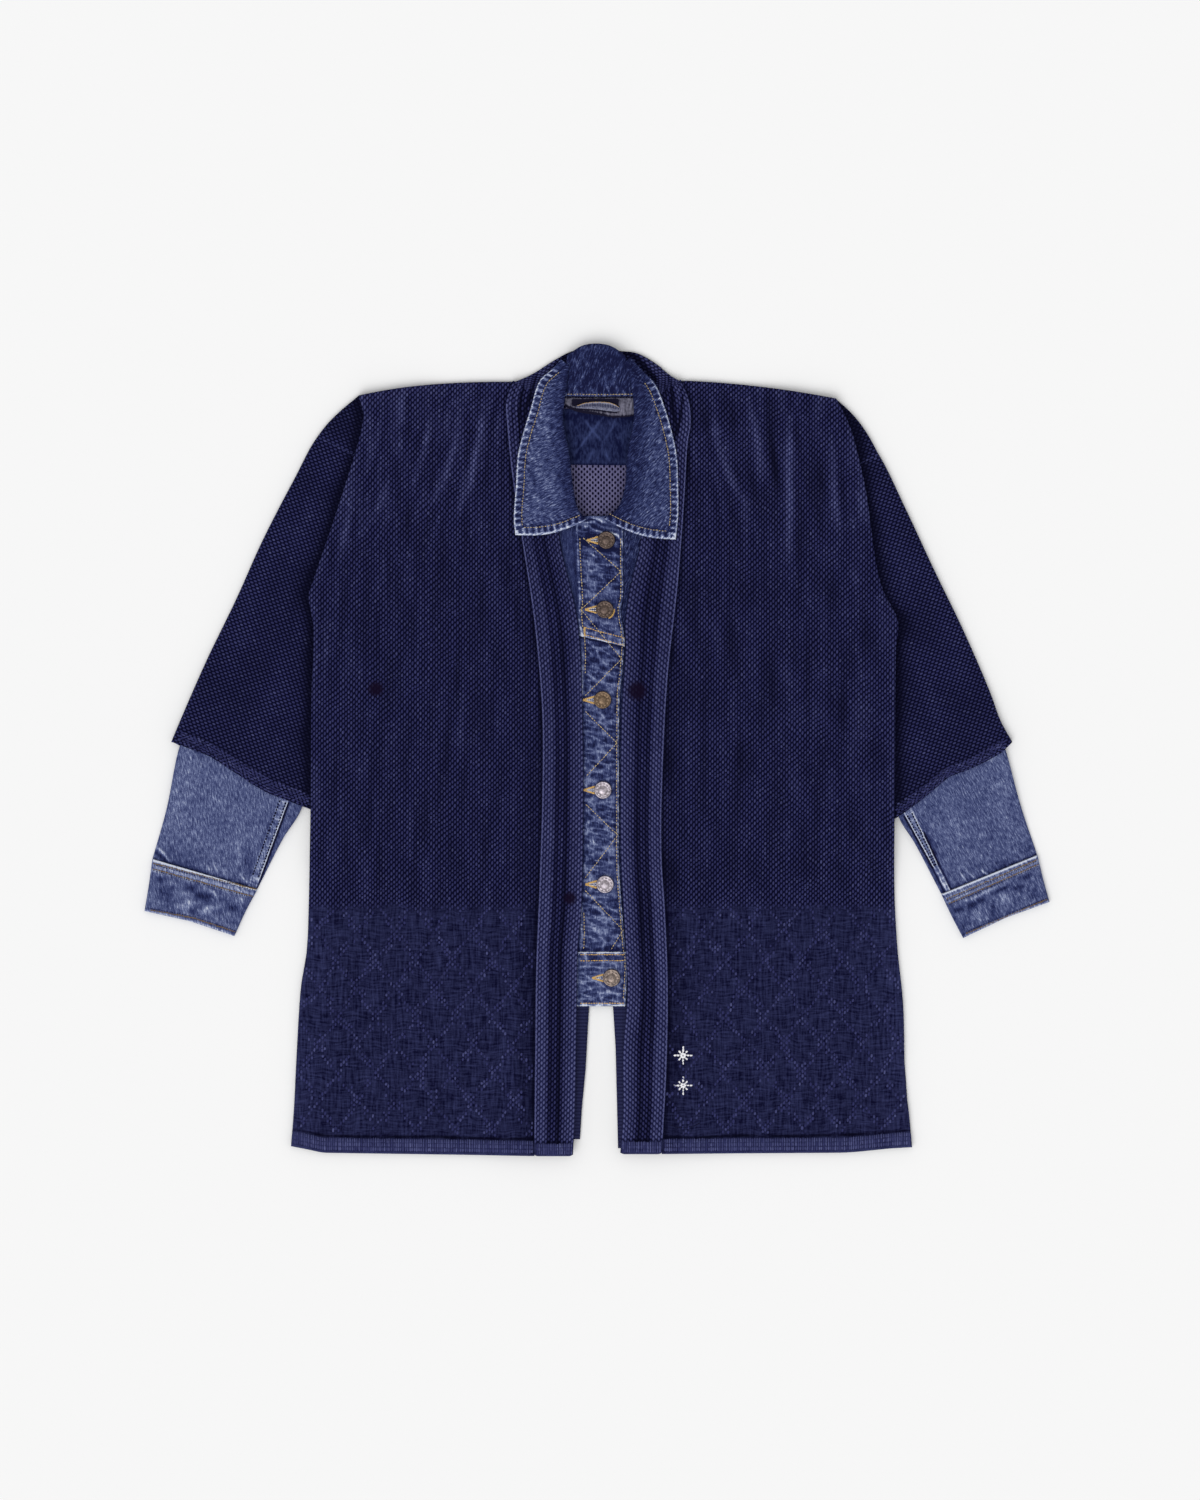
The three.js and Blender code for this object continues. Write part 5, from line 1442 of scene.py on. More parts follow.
def yokeSeam(u):
    return lerp(120, 103.2, u)


# pale folded edges near the first button, with painted shadow lines under them, round the button and in the hollow
# beneath it
yokeMarks = photoCreases(
    (1, 1.4, 581, 529, 589, 525, 592, 529.5, 600, 531.5, 606, 536, 611, 533, 618, 536, 622, 543, 624, 556),
    (1.6, -1, 583, 533, 591, 533.5, 600, 535.5, 606, 540, 612, 537, 619, 541),
    (0.9, 1.2, 583, 519.5, 590, 517.5, 600, 520, 603, 523.5), (0.8, 0.9, 585, 523, 594, 522, 602, 527),
    (0.8, -1, 583, 521.6, 595, 519.8, 602, 525), (4, -0.8, 583, 538, 586, 546), (2, -1, 598, 551, 621, 549),
    (1.8, -0.9, 590, 527, 604, 530), (3.4, -0.7, 580, 537, 590, 541, 602, 549, 618, 549.5),
    (1.3, 0.7, 586, 551, 594, 556, 598, 562), (1.6, 0.6, 584, 560, 592, 566))


def placketRelief(x, y):
    low, high = leftSide["bandInner"](y), rightSide["bandInner"](y)
    shown = between(x, low - 0.5, low + 5) * between(x, high + 0.5, high - 5)
    nearButton = sum(bell(np.hypot(x - bx, y - by), 11) for bx, by in buttonPlaces)
    calm = np.clip(1 - 1.2 * nearButton, 0, 1)
    ridged = [(1 - np.minimum(1, 2.0 * np.abs(ripple(across * x + lean * y, y, size, seed, 0.75)))) ** 1.5
              for size, seed, across, lean in ((15, 51, 0.5, 0.3), (9, 52, 0.5, -0.35), (12, 54, 0.8, 0.0))]
    puckers = ridged[0] + 0.7 * ridged[1] + 0.4 * ridged[2] - 0.75 + 0.2 * ripple(x, y, 5, 55)
    folds = creaseField(x, y, placketCreases)
    onStrip = between(x - placketRidge(y), -1.6, 0.2)
    z = shown * (calm * np.clip(0.45 + 0.8 * folds + 0.45 * puckers, -0.2, 1.1) - 0.5 * (1 - onStrip))
    return z, folds, puckers * onStrip * (0.35 + 0.65 * calm), onStrip


placketPieces = (
    {"name": "denimYoke", "node": "denim_yoke_left", "flat": (0.09, 0.15), "top": level(placket["top"]),
     "bottom": yokeSeam, "tone": -0.16, "lowEdge": 1.2, "lowHalf": 1.0, "aboveLow": 0.25, "shadowUnderSeam": 0.2,
     "topEdge": 0, "marks": yokeMarks},
    # on this piece lowEdge below 0 is a painted shadow above the waist seam, and the dark band under its top seam a
    # painted shadow below the yoke seam
    {"name": "denimFrontLeft", "node": "denim_front_left", "flat": (0.08, 0.33), "top": lambda u: yokeSeam(u) - 0.3,
     "bottom": level(placket["waist"]), "tone": -0.08, "lowEdge": -0.8, "lowHalf": 2.4, "aboveLow": 0,
     "shadowUnderSeam": 0.9, "topEdge": 0, "marks": []},
    {"name": "denimWaistband", "node": "denim_waistband_left", "flat": (0.08, 0.056),
     "top": level(placket["waist"] - 0.3), "bottom": level(placket["hem"]), "tone": -0.08, "lowEdge": 1.0,
     "lowHalf": 1.0, "aboveLow": 0, "shadowUnderSeam": 0, "topEdge": 1.2, "marks": []},
)


def makePlacket(look):
    p = placket
    top, bottom = look["top"], look["bottom"]
    edges = (lappedInner, lappedEdge, top, bottom)
    length = top(0.5) - bottom(0.5)
    near = np.array([0, 0.35, 0.9, 1.6])
    rows = np.concatenate([near, np.arange(2.6, length - 2.6, p["cell"]), (length - near)[::-1]]) / length
    columns = np.tile(edgedShares(70, [0, 0.3, 0.8, 1.5], p["columns"]), (len(rows), 1))
    x, y = panelPlan(columns, rows[:, None], edges)
    relief, folds, puckers, onStrip = placketRelief(x, y)
    fromEdge, fromTop, fromBottom = lappedEdge(y) - x, top(columns) - y, y - bottom(columns)
    rims = np.maximum.reduce([roundOver(fromEdge, 1.6, 0.9), roundOver(fromTop, 1.6, 0.9),
                              roundOver(fromBottom, 1.4, 0.7)])
    z = layers["overRight"] + p["wall"] + relief - rims
    fromRidge = x - placketRidge(y)
    # crests of creases and puckers painted lighter and their troughs darker as painted shading, with painted shadows
    # under the seams; the pale edges and ridge are wear
    wear = (look["tone"] + np.clip(1.3 * folds + 0.95 * puckers, -0.9, 0.5) + 0.6 * bell(fromEdge - 0.8, 0.8)
            - 0.45 * bell(fromEdge - 3.2, 1.4) + 0.75 * bell(fromRidge - 0.4, 0.9) * onStrip
            - 0.4 * bell(fromRidge - 3.2, 1.4) - 0.3 * bell(fromRidge + 2.6, 1.6) - 0.22 * (1 - onStrip)
            + 0.05 * ripple(x, y, 30, 53) + creaseField(x, y, look["marks"])
            + look["lowEdge"] * bell(fromBottom - 1.0, look["lowHalf"]) + look["aboveLow"] * bell(fromBottom - 6, 5)
            - look["shadowUnderSeam"] * bell(fromTop - 0.6, 1.5) + look["topEdge"] * bell(fromTop - 0.8, 0.9)
            + 0.08 * between(y, -35, -65) + 0.09 * between(y, -205, -230))
    top3 = joined(x, y, z)
    piece = panelPiece(look["name"], top3, edges, (3, 12), lambda px, py: layers["overRight"], denimCloth, flatCloth,
                       {"wear": wear})
    standFor(look["node"], "denim")
    wallArea(top3)
    return top3


placketTops = [makePlacket(look) for look in placketPieces]
placketSurface = Surface(*placketTops)


def makeButtonSide():
    p = placket
    outer = edgeLine([(62, 245), (56, 150), (48, 37), (46, -256)])
    edges = (level(p["underEdge"]), outer, level(p["top"]), level(p["hem"]))
    rows = np.linspace(0, 1, 150)
    columns = np.tile(edgedShares(60, [0, 0.3, 0.8], 22), (len(rows), 1))
    x, y = panelPlan(columns, rows[:, None], edges)
    fromEdge = np.minimum.reduce([x - p["underEdge"], p["top"] - y, y - p["hem"]])
    rims = roundOver(fromEdge, 1.0, 0.5)
    z = layers["overBack"] + p["underWall"] - rims - 0.1 * np.abs(ripple(x, y, 11, 61))
    wear = 0.1 + 0.12 * ripple(x, y, 9, 62) + 0.25 * between(y, 150, 240)
    top = joined(x, y, z)
    # the button side shows only in the narrow gap beside the placket, as a dark line of painted shade
    piece = panelPiece("denimFrontRight", top, edges, (3, 16), lambda px, py: layers["overBack"], denimDarkAndShade,
                       flatCloth, {"wear": wear})
    standFor("denim_front_right", "denim")
    wallArea(top)


makeButtonSide()
print("stage: denim fronts")


# Turn-down denim collar: leaves that roll over at the neck, and the stand behind it

collarForm = {"wall": 2.4, "radius": 2.2, "rise": 4.0, "backRise": 5.2, "backTurn": 8.0, "clear": 5.8,
              "flatSteps": 34, "rollSteps": 12, "stations": 84}


def rolledLine(width, base, rise, leg, drop):
    c = collarForm
    centre, middle = width - c["wall"] / 2 - c["radius"], base + c["wall"] / 2
    near = np.array([0, 0.35, 0.9, 1.7])
    flat = np.concatenate([near, np.linspace(2.6, centre, c["flatSteps"])])
    line = [(d, middle + rise * (d / centre) ** 1.5) for d in flat]
    for t in np.linspace(0, 1, c["rollSteps"])[1:]:
        angle = np.pi * (0.5 - t)
        line.append((centre + c["radius"] * np.cos(angle), middle + rise - c["radius"] + c["radius"] * np.sin(angle)))
    line.append((centre - leg, middle + rise - 2 * c["radius"] - drop))
    return np.array(line)


def thicken(line, wall):
    before, after = np.vstack([line[:1], line[:-1]]), np.vstack([line[1:], line[-1:]])
    run = after - before
    run = run / np.linalg.norm(run, axis=1)[:, None]
    aside = joined(-run[:, 1], run[:, 0]) * wall / 2
    return line + aside, line - aside


def makeCollar(name, node, finish, stations, sectionAt, planAt, shape):
    tops, unders = [], []
    for v in stations:
        upper, lower = thicken(sectionAt(v), collarForm["wall"])
        tops.append([(*planAt(v, d), z) for d, z in upper])
        unders.append([(*planAt(v, d), z) for d, z in lower])
    top, under = np.array(tops), np.array(unders)
    away = np.array([sectionAt(v)[:, 0] for v in stations])
    lift, wear = shape(top, away, np.asarray(stations)[:, None])
    flatCount = collarForm["flatSteps"] + 4
    onFlat = np.zeros(top.shape[:2])
    onFlat[:, :flatCount] = 1
    onFlat[:, flatCount - 4:flatCount] = np.linspace(1, 0, 4)
    top[..., 2] += lift * onFlat
    under = under[:: 3]
    if (len(stations) - 1) % 3:
        under = np.concatenate([under, np.array(unders)[-1:]])
    keep = np.r_[0, 3:flatCount:5, flatCount:under.shape[1]]
    piece = makePiece(name, *clothWall(top, under[:, keep]), finish, flatCloth, {"wear": wear})
    standFor(node, "denim")
    wallArea(top)
    return Surface(top[:, :flatCount + 5])


collarCreases = {
    -1: creaseRows(
        (4, 0.5, -60, 360, -52, 330, -48, 300), (4, 0.45, -70, 300, -55, 280, -45, 250), (3, 0.4, -45, 345, -42, 320),
        (3, -0.4, -66, 270, -50, 250), (3, -0.4, -50, 300, -38, 270)),
    1: creaseRows(
        (4, 0.5, 58, 356, 54, 330, 50, 300), (4, 0.45, 68, 300, 54, 280, 42, 255), (3, 0.4, 44, 350, 42, 322),
        (3, -0.4, 66, 268, 50, 250), (3, -0.4, 50, 298, 40, 272)),
}


def leafShape(side):
    sign = side["sign"]

    def shape(top, away, v):
        x, y = top[..., 0], top[..., 1]
        outer = curveLine(side["leafOuter"])(v[:, 0])
        runs = np.concatenate([[0], np.cumsum(np.linalg.norm(np.diff(outer, axis=0), axis=1))])[:, None]
        fromEnd = (runs[-1] - runs) + 0 * away
        edge = np.minimum(away, fromEnd)
        around = np.where(away < fromEnd, runs, runs[-1] + away)
        folds = creaseField(x, y, collarCreases[sign])
        waves = np.sin(2 * np.pi * around / 6.3) + 0.35 * np.sin(2 * np.pi * around / 4.3 + 1.7)
        blocks = np.tanh(2.2 * (waves - 0.1))
        roping = between(edge, 1.0, 1.9) * between(edge, 7.4, 6.6)
        streaks = np.sin(2 * np.pi * (around + 0.8 * edge) / 5.2) * between(edge, 8.4, 9.4) * between(edge, 16, 11)
        puckers = ripple(x, y, 7, 71 + sign)
        ridged = (1 - np.minimum(1, 2.0 * np.abs(ripple(x, y, 15, 73 + sign)))) ** 1.5
        lift = (-roundOver(edge, 1.6, 0.9) + 0.35 * roping * blocks - 0.35 * bell(edge - 8, 0.9) + 0.25 * folds
                + 0.18 * streaks + 0.12 * puckers * between(edge, 9, 12))
        fade = between(v, *side["roping"])
        corner = bell(np.hypot(away, fromEnd), 7.0)
        # pale worn edges, corners and roping; folds painted lighter on their crests and darker in their troughs,
        # painted shade in the stitch groove and a painted shadow along the roll line
        wear = (-0.06 + 1.1 * bell(edge - 0.7, 1.1) * fade + 0.7 * corner + roping * (0.74 * blocks - 0.02) * fade
                - 0.55 * bell(edge - 8, 0.9) + 0.40 * streaks + 0.35 * folds + 0.10 * puckers
                + 0.10 * ridged * between(edge, 10, 14)
                + 0.05 * ripple(x, y, 24, 75) - 0.55 * bell(away - away.max(axis=1)[:, None], 14.5 + 2.5 * sign))
        return lift, wear
    return shape


def makeLeaf(side, label):
    outer, inner = curveLine(side["leafOuter"]), curveLine(side["leafInner"])

    def section(v):
        o, i = outer(v), inner(v)
        width = math.hypot(*(i - o))
        base = bandBase(min(o[1], i[1]) - 6) + collarForm["clear"]
        return rolledLine(width, base, collarForm["rise"], min(5, width / 4), 1.2)

    def plan(v, d):
        o, i = outer(v), inner(v)
        u = d / math.hypot(*(i - o))
        x, y = lerp(o, i, u)
        return x, y - 6 * math.sin(math.pi * u) * v ** 12
    stations = np.concatenate([np.linspace(0, 0.94, collarForm["stations"]), np.linspace(0.94, 1, 16)[1:]])
    return makeCollar("collarLeaf" + label, "collar_" + label.lower(), denimCollars[side["sign"]], stations, section,
                      plan, leafShape(side))


def makeCollarBack():
    seamLine = curveLine([(-31.5, 353.6), (2, 353.2), (36, 353.6)])
    rollLine = curveLine([(-30, 394), (-14, 404), (4, 405.6), (16, 402.4), (28, 394)])

    def section(v):
        width = math.hypot(*(rollLine(v) - seamLine(v)))
        return rolledLine(width, collarForm["clear"], collarForm["backRise"], collarForm["backTurn"], 0)

    def plan(v, d):
        s, r = seamLine(v), rollLine(v)
        return tuple(lerp(s, r, d / math.hypot(*(r - s))))
    creases = creaseRows(
        (3, 0.5, -20, 360, -8, 385), (2.5, 0.4, 0, 358, 6, 372), (3, 0.45, 12, 362, 22, 385),
        (3, 0.5, -24, 380, -10, 396), (3, -0.4, 4, 384, 16, 398), (2.5, -0.5, -14, 362, -4, 380))
    creases += photoCreases(
        (1.2, 0.8, 589, 383, 592, 394), (1.2, 0.9, 604, 376, 609, 393), (1.2, 0.9, 614, 382, 619, 394),
        (1.1, 0.8, 621, 386, 625, 395), (1.6, -0.8, 599, 384, 601, 394), (1.6, -0.8, 612, 386, 613, 395),
        (1.3, 0.6, 574, 384, 577, 394))

    def shape(top, away, v):
        x, y = top[..., 0], top[..., 1]
        folds = creaseField(x, y, creases)
        puckers = ripple(x, y, 8, 81)
        lift = 0.35 * folds + 0.15 * puckers - roundOver(away, 1.4, 0.8)
        # creases painted lighter on their crests and darker in their troughs as painted shading; pale worn edge and
        # streaks
        wear = (-0.06 + 0.9 * folds + 0.2 * puckers + 0.3 * bell(y - 402, 5) + 0.5 * bell(away - 0.6, 0.8)
                + 0.5 * np.maximum(0, np.sin(2 * np.pi * (x + 0.4 * y) / 7)) * between(away, 9, 2)
                + 0.1 * ripple(x, y, 22, 82))
        return lift, wear
    return makeCollar("collarStand", "collar_back", denimDarkAndShade, np.linspace(0, 1, 44), section, plan, shape)


leafSurfaces = {side["sign"]: makeLeaf(side, label) for side, label in bothSides}
standSurface = makeCollarBack()
print("stage: collar")


# Inside the neck: twill lining, pale facing with a frayed lower edge, and a hanger loop

def makeFlat(name, node, slotName, finish, shape, form):
    left, right = form["edges"]
    u, v = np.meshgrid(*(np.linspace(0, 1, count + 1) for count in form["cells"]))
    x = lerp(left, right, u)
    high, low = form["top"](x), form["bottom"](x)
    y = lerp(high, low, v)
    lift, wear = shape(x, y, v)
    fromRim = np.minimum.reduce([x - left, right - x, high - y, y - low])
    top = joined(x, y, form["floor"] + form["wall"] + lift - roundOver(fromRim, 0.8, 0.3))
    ux, uv = np.meshgrid(np.linspace(left, right, 9), np.linspace(0, 1, 4))
    under = joined(ux, lerp(form["top"](ux), form["bottom"](ux), uv), form["floor"])
    piece = makePiece(name, *clothWall(top, under), finish, flatCloth, {"wear": wear})
    standFor(node, slotName)
    wallArea(top)
    return Surface(top)


liningCreases = photoCreases(
    (1.3, 1.1, 574, 455, 590, 434, 605, 415), (1.2, 1, 583, 418, 592, 430, 602, 442),
    (1.3, 0.9, 604, 442, 612, 428, 616, 418), (1.2, 0.9, 588, 462, 594, 448), (1.4, 0.9, 610, 462, 604, 450),
    (2.4, -0.5, 622, 455, 616, 438), (2.4, -0.5, 580, 440, 578, 460))
liningForm = {"edges": (-40, 46), "top": level(341),
              "bottom": knots([(-40, 287), (-24, 285), (28, 284.5), (46, 287)]), "floor": layers["overBack"],
              "wall": 0.8, "cells": (86, 60), "flat": (0.09, 0.06), "on": "backPanel"}


def liningShape(x, y, v):
    folds = creaseField(x, y, liningCreases)
    gathers = ripple(x, y, 6, 91, 3.0)
    lift = np.clip(0.6 * folds + 0.2 * gathers, -0.3, 0.75) * between(y, 331, 324)
    # folds painted lighter on their crests and darker in their troughs as painted shading, painted shade just under
    # the facing's edge, and darker along the lower edge
    return lift, -0.25 + 0.65 * folds + 0.10 * gathers - 0.3 * bell(y - 333, 4) - 0.3 * bell(v - 1, 0.03)


loopUpper = knots([(-21, 343.7), (-12, 346.7), (-4, 347.7), (3, 347.9), (13, 347.1), (18, 345.2), (23, 341.6)])
loopLower = knots([(-21, 341.6), (-1, 340.4), (10, 338.8), (19, 338), (23, 339)])
facingLow = knots([(37, 334), (30, 332.6), (16, 332), (6, 334), (-1, 335), (-12, 336.4), (-20, 338), (-32, 343)])
facingForm = {"edges": (-32, 37), "top": level(351.5), "bottom": facingLow, "floor": 3.9, "wall": 1.2,
              "cells": (70, 18), "flat": (0.072, 0.018), "on": "neckLining"}
loopForm = {"edges": (-21, 23), "top": loopUpper, "bottom": loopLower, "floor": 5.4, "wall": 1.2, "cells": (90, 8),
            "flat": (0.05, 0.01), "on": "neckFacing"}


def facingShape(x, y, v):
    upper, lower, low = loopUpper(x), loopLower(x), facingLow(x)
    along = between(x, -26, -22) * between(x, 23, 19)
    slot = between(y, upper - 0.5, upper + 0.5) * between(y, 351, 350) * along
    shadow = bell(y - lower + 0.8, 0.8) * along
    fray = bell(y - low - 0.5, 1.6) * lerp(1.0, 0.45, between(x, -6, 10))
    weave = ripple(x, y, 3.2, 93, 0.6)
    # the slot above the hanger loop and the loop's shadow are painted dark as shade; the frayed edge is darker
    return 0.08 * weave - 0.5 * slot, -0.06 + 0.15 * weave - 1.7 * slot - 0.8 * shadow - 1.6 * fray


def loopShape(x, y, v):
    dashes = between(np.sin(2 * np.pi * x / 2.6), 0.1, 0.7) * bell(v - 0.4, 0.2)
    return 0.1 * np.sin(np.pi * v), 0.05 - 0.4 * bell(v - 0.45, 0.28) - 0.8 * dashes + 0.6 * bell(v - 0.08, 0.1)


makeFlat("neckLining", "neck_lining", "lining", liningCloth, liningShape, liningForm)
makeFlat("neckFacing", "neck_facing", "facing", facingCloth, facingShape, facingForm)
tapeSurface = makeFlat("hangerTape", "hanger_loop", "facing", loopCloth, loopShape, loopForm)
print("stage: inside of the neck")


# Metal shank buttons: turned rim, a ring of plain raised blocks and a domed middle

button = {"radius": 8.8, "sides": 40, "foot": 2.6, "low": 7.0, "waist": 1.3, "shoulder": 2.3, "blocks": 0.28,
          "ring": (5.2, 6.2), "bevel": 0.12}
# steps in and up over the button's face: rim, groove, flat ring and dome
buttonSteps = [(0.5, 0.75), (0.5, 0.15), (0.45, -0.1), (0.55, -0.5), (1.9, 0.15), (0.4, -0.2), (0.5, 0.5),
               (2.2, 0.45)]


def metalFinish(name, dark, pale, worn, scale):
    f = Finish(name, roughness=0.42, metallic=1.0, shine=0.5)
    place = f.bodyPlace()
    tone = f.noise(place, scale, 3.0, 0.6)
    fine = f.noise(place, scale * 4, 2.0, 0.6)
    colour = f.mix(((tone - 0.5) * 2.2 + 0.5).clamp(), dark, pale)
    colour = f.mix(((fine - 0.6) * 4).clamp(), colour, worn)
    f.feed(colour=colour, roughness=tone * 0.3 + 0.3, normal=f.bump(fine, 0.0002, 0.4))
    return f.material


bronzeDark = metalFinish("darkBronze", rgb(58, 50, 50), rgb(120, 104, 96), rgb(158, 128, 104), 0.5)
bronzeTan = metalFinish("tanBronze", rgb(84, 68, 56), rgb(146, 124, 102), rgb(186, 160, 128), 0.5)
silverPink = metalFinish("wornSilver", rgb(120, 112, 122), rgb(214, 206, 214), rgb(190, 142, 116), 0.4)
bronzeMixed = metalFinish("mixedBronze", rgb(74, 66, 68), rgb(176, 160, 150), rgb(196, 150, 118), 0.4)
buttonFinishes = [bronzeDark, bronzeDark, bronzeTan, silverPink, silverPink, bronzeMixed]


# in edit mode with one face picked: draw it in, then move it up or down
def insetTo(inset, rise):
    bpy.ops.mesh.inset(thickness=inset * mm, depth=0)
    bpy.ops.transform.translate(value=(0, 0, rise * mm))


def pickFaces(piece, wanted):
    bpy.ops.object.mode_set(mode="OBJECT")
    for face in piece.data.polygons:
        face.select = wanted(face)
    bpy.ops.object.mode_set(mode="EDIT")


def makeButton(number, place, finish):
    b = button
    tall = b["shoulder"] - b["waist"]
    middle = (place[0] * mm, place[1] * mm, (b["low"] + b["waist"] + tall / 2) * mm)
    bpy.ops.object.select_all(action="DESELECT")
    bpy.ops.mesh.primitive_cylinder_add(vertices=b["sides"], radius=b["radius"] * mm, depth=tall * mm,
                                        location=middle)
    piece = bpy.context.object
    piece.name = f"shankButton{number}"
    bpy.ops.object.transform_apply(location=True, rotation=True, scale=True)
    bpy.ops.object.mode_set(mode="EDIT")
    bpy.ops.mesh.select_mode(type="FACE")
    pickFaces(piece, lambda face: face.normal.z > 0.9)
    for inset, rise in buttonSteps:
        insetTo(inset, rise)
    bpy.ops.mesh.poke()
    pickFaces(piece, lambda face: face.normal.z < -0.9)
    insetTo(b["foot"], -b["waist"])

    # every other face of the flat ring stands up as a plain block
    def onRing(face):
        x, y = face.center.x / mm - place[0], face.center.y / mm - place[1]
        step = int((math.atan2(y, x) + math.pi) / (2 * math.pi) * b["sides"])
        onFace = face.normal.z > 0.5 and face.center.z / mm > b["low"] + 2.4
        return onFace and b["ring"][0] < math.hypot(x, y) < b["ring"][1] and step % 4 < 2
    pickFaces(piece, onRing)
    bpy.ops.mesh.extrude_region_move(TRANSFORM_OT_translate={"value": (0, 0, b["blocks"] * mm)})
    bpy.ops.mesh.select_all(action="SELECT")
    bpy.ops.mesh.normals_make_consistent(inside=False)
    bpy.ops.object.mode_set(mode="OBJECT")
    edge = piece.modifiers.new("edge", "BEVEL")
    edge.width, edge.segments, edge.limit_method, edge.angle_limit = b["bevel"] * mm, 2, "ANGLE", math.radians(35)
    bpy.ops.object.modifier_apply(modifier="edge")
    bpy.ops.object.shade_smooth_by_angle(angle=math.radians(40))
    piece.data.materials.append(finish)
    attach(piece, "root")
    standFor(f"button_{number}", "silver" if number in (4, 5) else "bronze")


for i, (place, finish) in enumerate(zip(buttonPlaces, buttonFinishes)):
    makeButton(i + 1, place, finish)
print("stage: buttons")


# Sewing: rows of small raised stitches, one joined mesh for each thread and cloth

pitch = {"collar": 2.9, "stand": 3.0, "loop": 1.8, "edge": 3.1, "repair": 3.0, "gold": 2.6, "bar": 0.9, "hole": 0.8,
         "cuff": 2.6, "felled": 3.1, "gap": 1.8, "seamEdge": 1.6, "sleeve": 3.4, "star": 3.0, "loose": 1.6,
         "tack": 2.2}


def sew(name, rows, surface, finish, size=0.55, longer=1.4, wear=0.0):
    centres, turns = (np.concatenate(part) for part in zip(*rows))
    piece = grainPiece(name, centres, turns, surface, finish, flatCloth, np.full(len(centres), wear), size=size,
                       longer=longer)
    return piece


# collar leaves: one row inside the free edge and across the end
for side, label in bothSides:
    outer, inner = (curveLine(side[k])(np.linspace(0.05, 1, 60)) for k in ("leafOuter", "leafInner"))
    across = (inner - outer) / np.linalg.norm(inner - outer, axis=1)[:, None]
    edgeRow = (outer + across * 8)[6 if side is leftSide else 12:-5]
    endShare = np.linspace(0.12, 0.9, 20)[:, None]
    endRow = lerp(outer[-1], inner[-1], endShare) + joined(0, 8 - 6 * np.sin(np.pi * endShare[:, 0]))
    sew("collarStitches" + label, [stitchRow(row, pitch["collar"]) for row in (edgeRow, endRow)],
        leafSurfaces[side["sign"]].find, tanThread, 0.5, 1.5)

# stand: a row over the neck seam
standRows = [stitchRow(fromPhoto((567, 394.6), (599, 395), (632, 394.6)), pitch["stand"])]
sew("standStitches", standRows, standSurface.find, tanThread, 0.5, 1.5, 0.0)
loopX = np.linspace(-20, 22, 30)
sew("loopStitches", [stitchRow(joined(loopX, loopUpper(loopX) - 0.3), pitch["loop"])], tapeSurface.find, goldThread,
    0.4, 1.2, -0.1)

# placket: rows along both edges, the waist seam, the yoke seam and a wandering repair row
placketY = np.linspace(212, -250, 120)
leftRows = [joined(placketRidge(y) + 3.0, y) for y in (np.linspace(212, 76, 40), np.linspace(-162, -200, 16))]
rightRow = joined(lappedEdge(placketY) - 2.4, placketY)
zigzags = [fromPhoto((583, 538), (608, 560), (621, 572), (581, 609.7), (621.6, 659), (585, 696)),
           fromPhoto((585, 711), (617, 743), (586.4, 776)), fromPhoto((585.6, 804), (617.8, 835), (585, 878)),
           fromPhoto((585, 890), (623, 930), (611.6, 948.5))]
tanRows = ([stitchRow(row, pitch["edge"]) for row in (*leftRows, rightRow)]
           + [stitchRow(row, pitch["repair"]) for row in zigzags])
goldRows = [stitchRow(fromPhoto(*line), pitch["gold"]) for line in (
    ((584.6, 627.6), (624, 638)), ((584.6, 635), (624, 645.5)), ((580, 954.4), (624, 954.4)),
    ((580, 960.4), (624, 960.4)), ((580, 1003), (624, 1003)))]
goldRows.append(crossRow(fromPhoto((584.6, 627), (584.6, 637)), pitch["bar"]))
# buttonholes: gold thread round a pale opening, and one gold edge that shows beyond the second button
buttonhole = {"side": np.array([(-19.5, 0), (-16, 1.0), (-11, 2.6), (-8, 3.4)]), "far": 9.5, "turn": (-1.15, 0.1),
              "opening": np.array([(-16, 0.7), (-8, 1.12)]), "openingPitch": 2.0}
for place in buttonPlaces:
    for aside in (1, -1):
        goldRows.append(crossRow(np.array(place) + buttonhole["side"] * (1, aside), pitch["hole"]))
turn = np.linspace(*buttonhole["turn"], 12)
arc = np.array(buttonPlaces[1]) + buttonhole["far"] * joined(np.cos(turn), np.sin(turn))
goldRows.append(crossRow(arc, pitch["bar"]))
paleRows = [stitchRow(np.array(place) + buttonhole["opening"] * (1, aside), buttonhole["openingPitch"])
            for place in buttonPlaces for aside in (-1, 1)]
sew("placketHoles", paleRows, placketSurface.find, whiteThread, 0.5, 1.4, -0.3)
sew("placketStitches", tanRows, placketSurface.find, tanThread, 0.52, 1.5, 0.22)
sew("placketGold", goldRows, placketSurface.find, goldThread, 0.55, 1.35, 0.1)

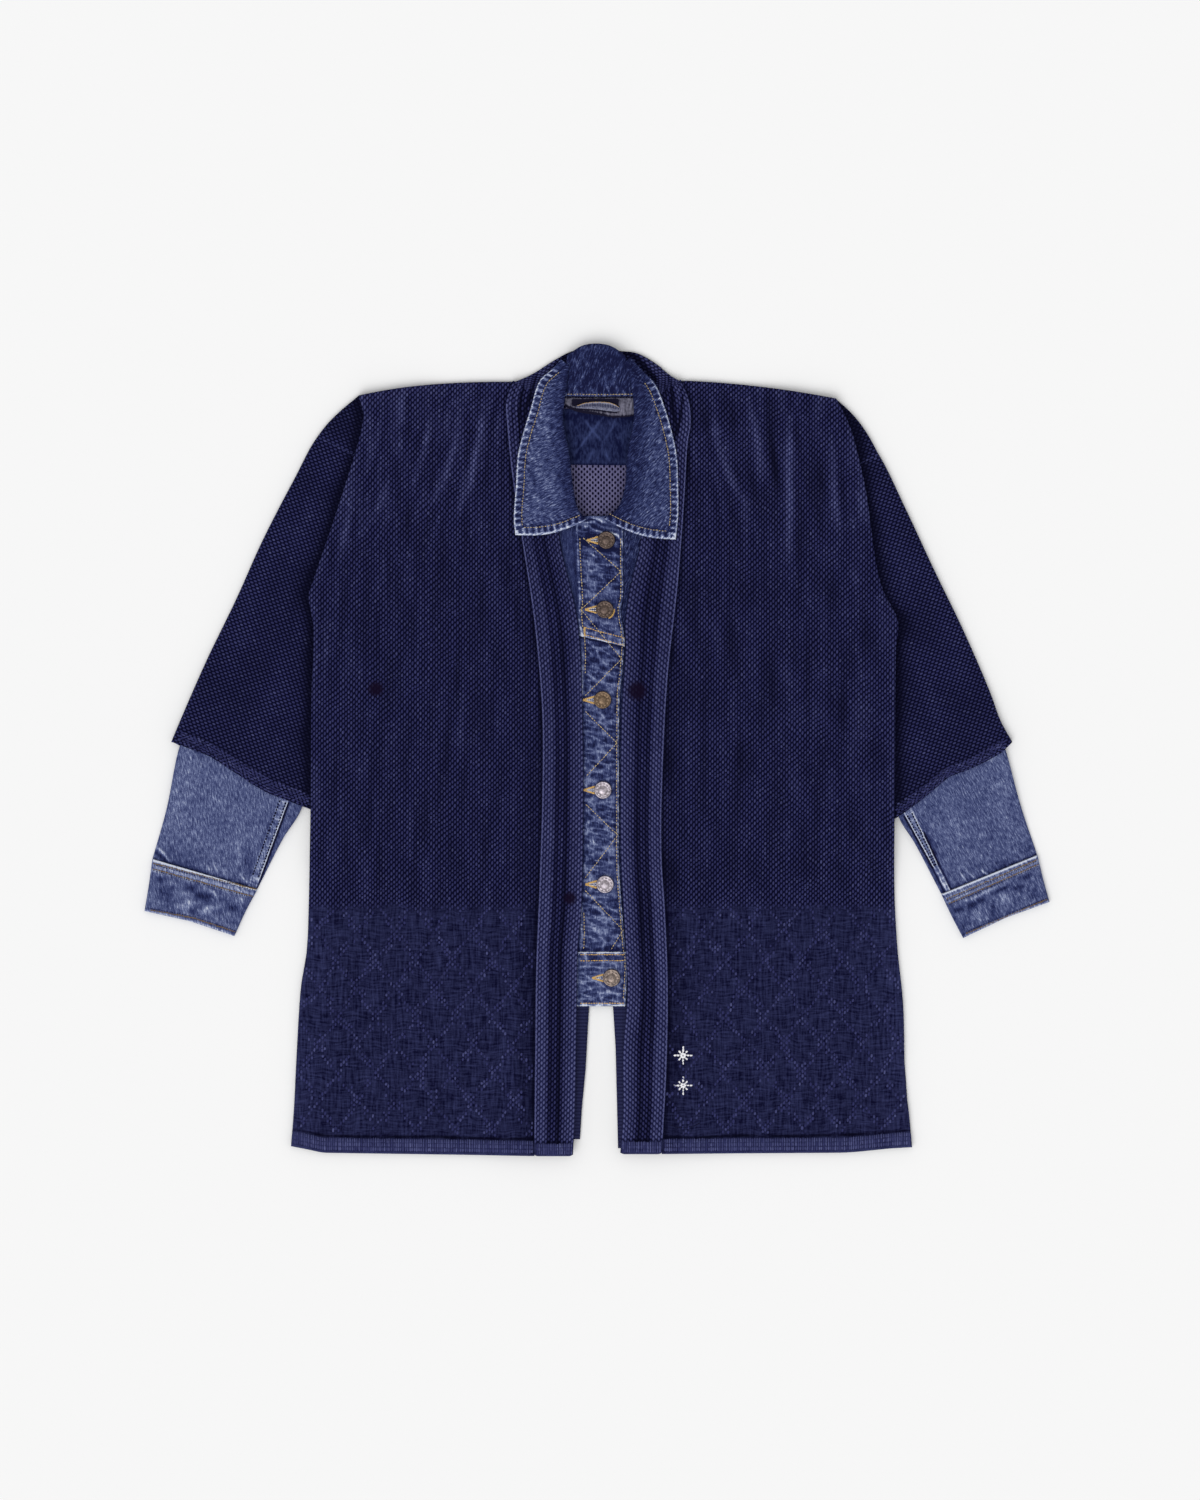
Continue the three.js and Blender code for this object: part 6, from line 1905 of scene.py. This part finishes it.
# cuffs and the felled seams of the lower sleeves
cuffRows = {
    -1: (((153.4, 863), (255.6, 889)), ((153.2, 868.6), (254, 896.5)),
         ((150.9, 909.8), (193, 917.6), (235.4, 931.6))),
    1: (((946, 899), (1037, 859.5)), ((948, 903.7), (1038, 864.2)), ((965.4, 933.6), (1002.2, 918), (1047, 899))),
}
for side, label in bothSides:
    sign = side["sign"]
    for name, finish, low, size in (("cuffStitches", dullThread, 0, 0.74), ("cuffShadow", navyThread, 1.5, 0.55)):
        stitches = [stitchRow(fromPhoto(*((px, py + shift * low) for px, py in row)), pitch["cuff"])
                    for row, shift in zip(cuffRows[sign], (1, 1, -1))]
        sew(name + label, stitches, denimSurfaces["cuff", sign].find, finish, size, 1.25, -0.1)
    felled = felledSeams[sign]
    (ax, ay), (bx, by) = felled["line"]
    run = math.hypot(bx - ax, by - ay)
    normal = np.array([-(by - ay), bx - ax]) / run
    half = np.array(felled["half"])[:, None]
    seamLine = np.array(felled["line"])
    rows = [stitchRow(seamLine + normal * k * (half - 0.9), pitch["felled"]) for k in (-1, 1)]
    # navy stitches along the gaps beside the seam deepen their painted shade
    for k, start in felled["gaps"]:
        gapLine = seamLine + normal * k * (half + 1.7)
        rows.append(stitchRow([lerp(*gapLine, start), gapLine[1]], pitch["gap"]))
    sew("felledStitches" + label, rows, denimSurfaces["sleeve", sign].find, navyThread, 1.15, 0.72, -0.5)
    edgeRows = [stitchRow(seamLine + normal * k * (half + 0.3), pitch["seamEdge"]) for k in felled["edges"]]
    sew("felledEdge" + label, edgeRows, denimSurfaces["sleeve", sign].find, paleThread, 0.55, 1.2, 0.2)

# sleeve seams on the sashiko
for side, label in bothSides:
    a, b = sleeveEnds(side, sleeveForm["seam"] + 0.008)
    sew("sleeveSeamStitches" + label, [stitchRow([lerp(a, b, 0.04), lerp(a, b, 0.96)], pitch["sleeve"])],
        sleeveSurfaces[side["sign"]].find, navyThread, 0.6, 1.5, 0.3)


# two plain eight-armed stars in white thread on the right front
motif = {"places": fromPhoto((683, 1055), (683, 1085)), "radius": 9.5, "arms": 8}
motifRows = []
for mx, my in motif["places"]:
    for k in range(motif["arms"]):
        turn = 2 * math.pi * k / motif["arms"]
        reach = motif["radius"] * (1 if k % 2 == 0 else 0.72)
        d = np.array([math.cos(turn), math.sin(turn)])
        n = np.array([-d[1], d[0]])
        for shift in (-0.3, 0.3):
            ends = [np.array([mx, my]) + d * far + n * shift for far in (0.4, reach)]
            motifRows.append(stitchRow(ends, pitch["star"]))
sew("starStitches", motifRows, frontHeights[1], whiteThread, 0.6, 1.65, 0.3)

# a loose pale thread beside the placket and a dark tack over the right hem
loose = fromPhoto((672.6, 590), (675, 587.6), (677.7, 586))
sew("looseThread", [stitchRow(loose, pitch["loose"])], frontHeights[1], whiteThread, 0.45, 1.4, -0.2)
tack = fromPhoto((670, 1125), (677, 1126.6), (685, 1127), (693, 1126), (699, 1123))
sew("hemTack", [stitchRow(tack, pitch["tack"])], frontHeights[1], navyThread, 0.8, 1.2, -0.4)
print("stage: sewing")
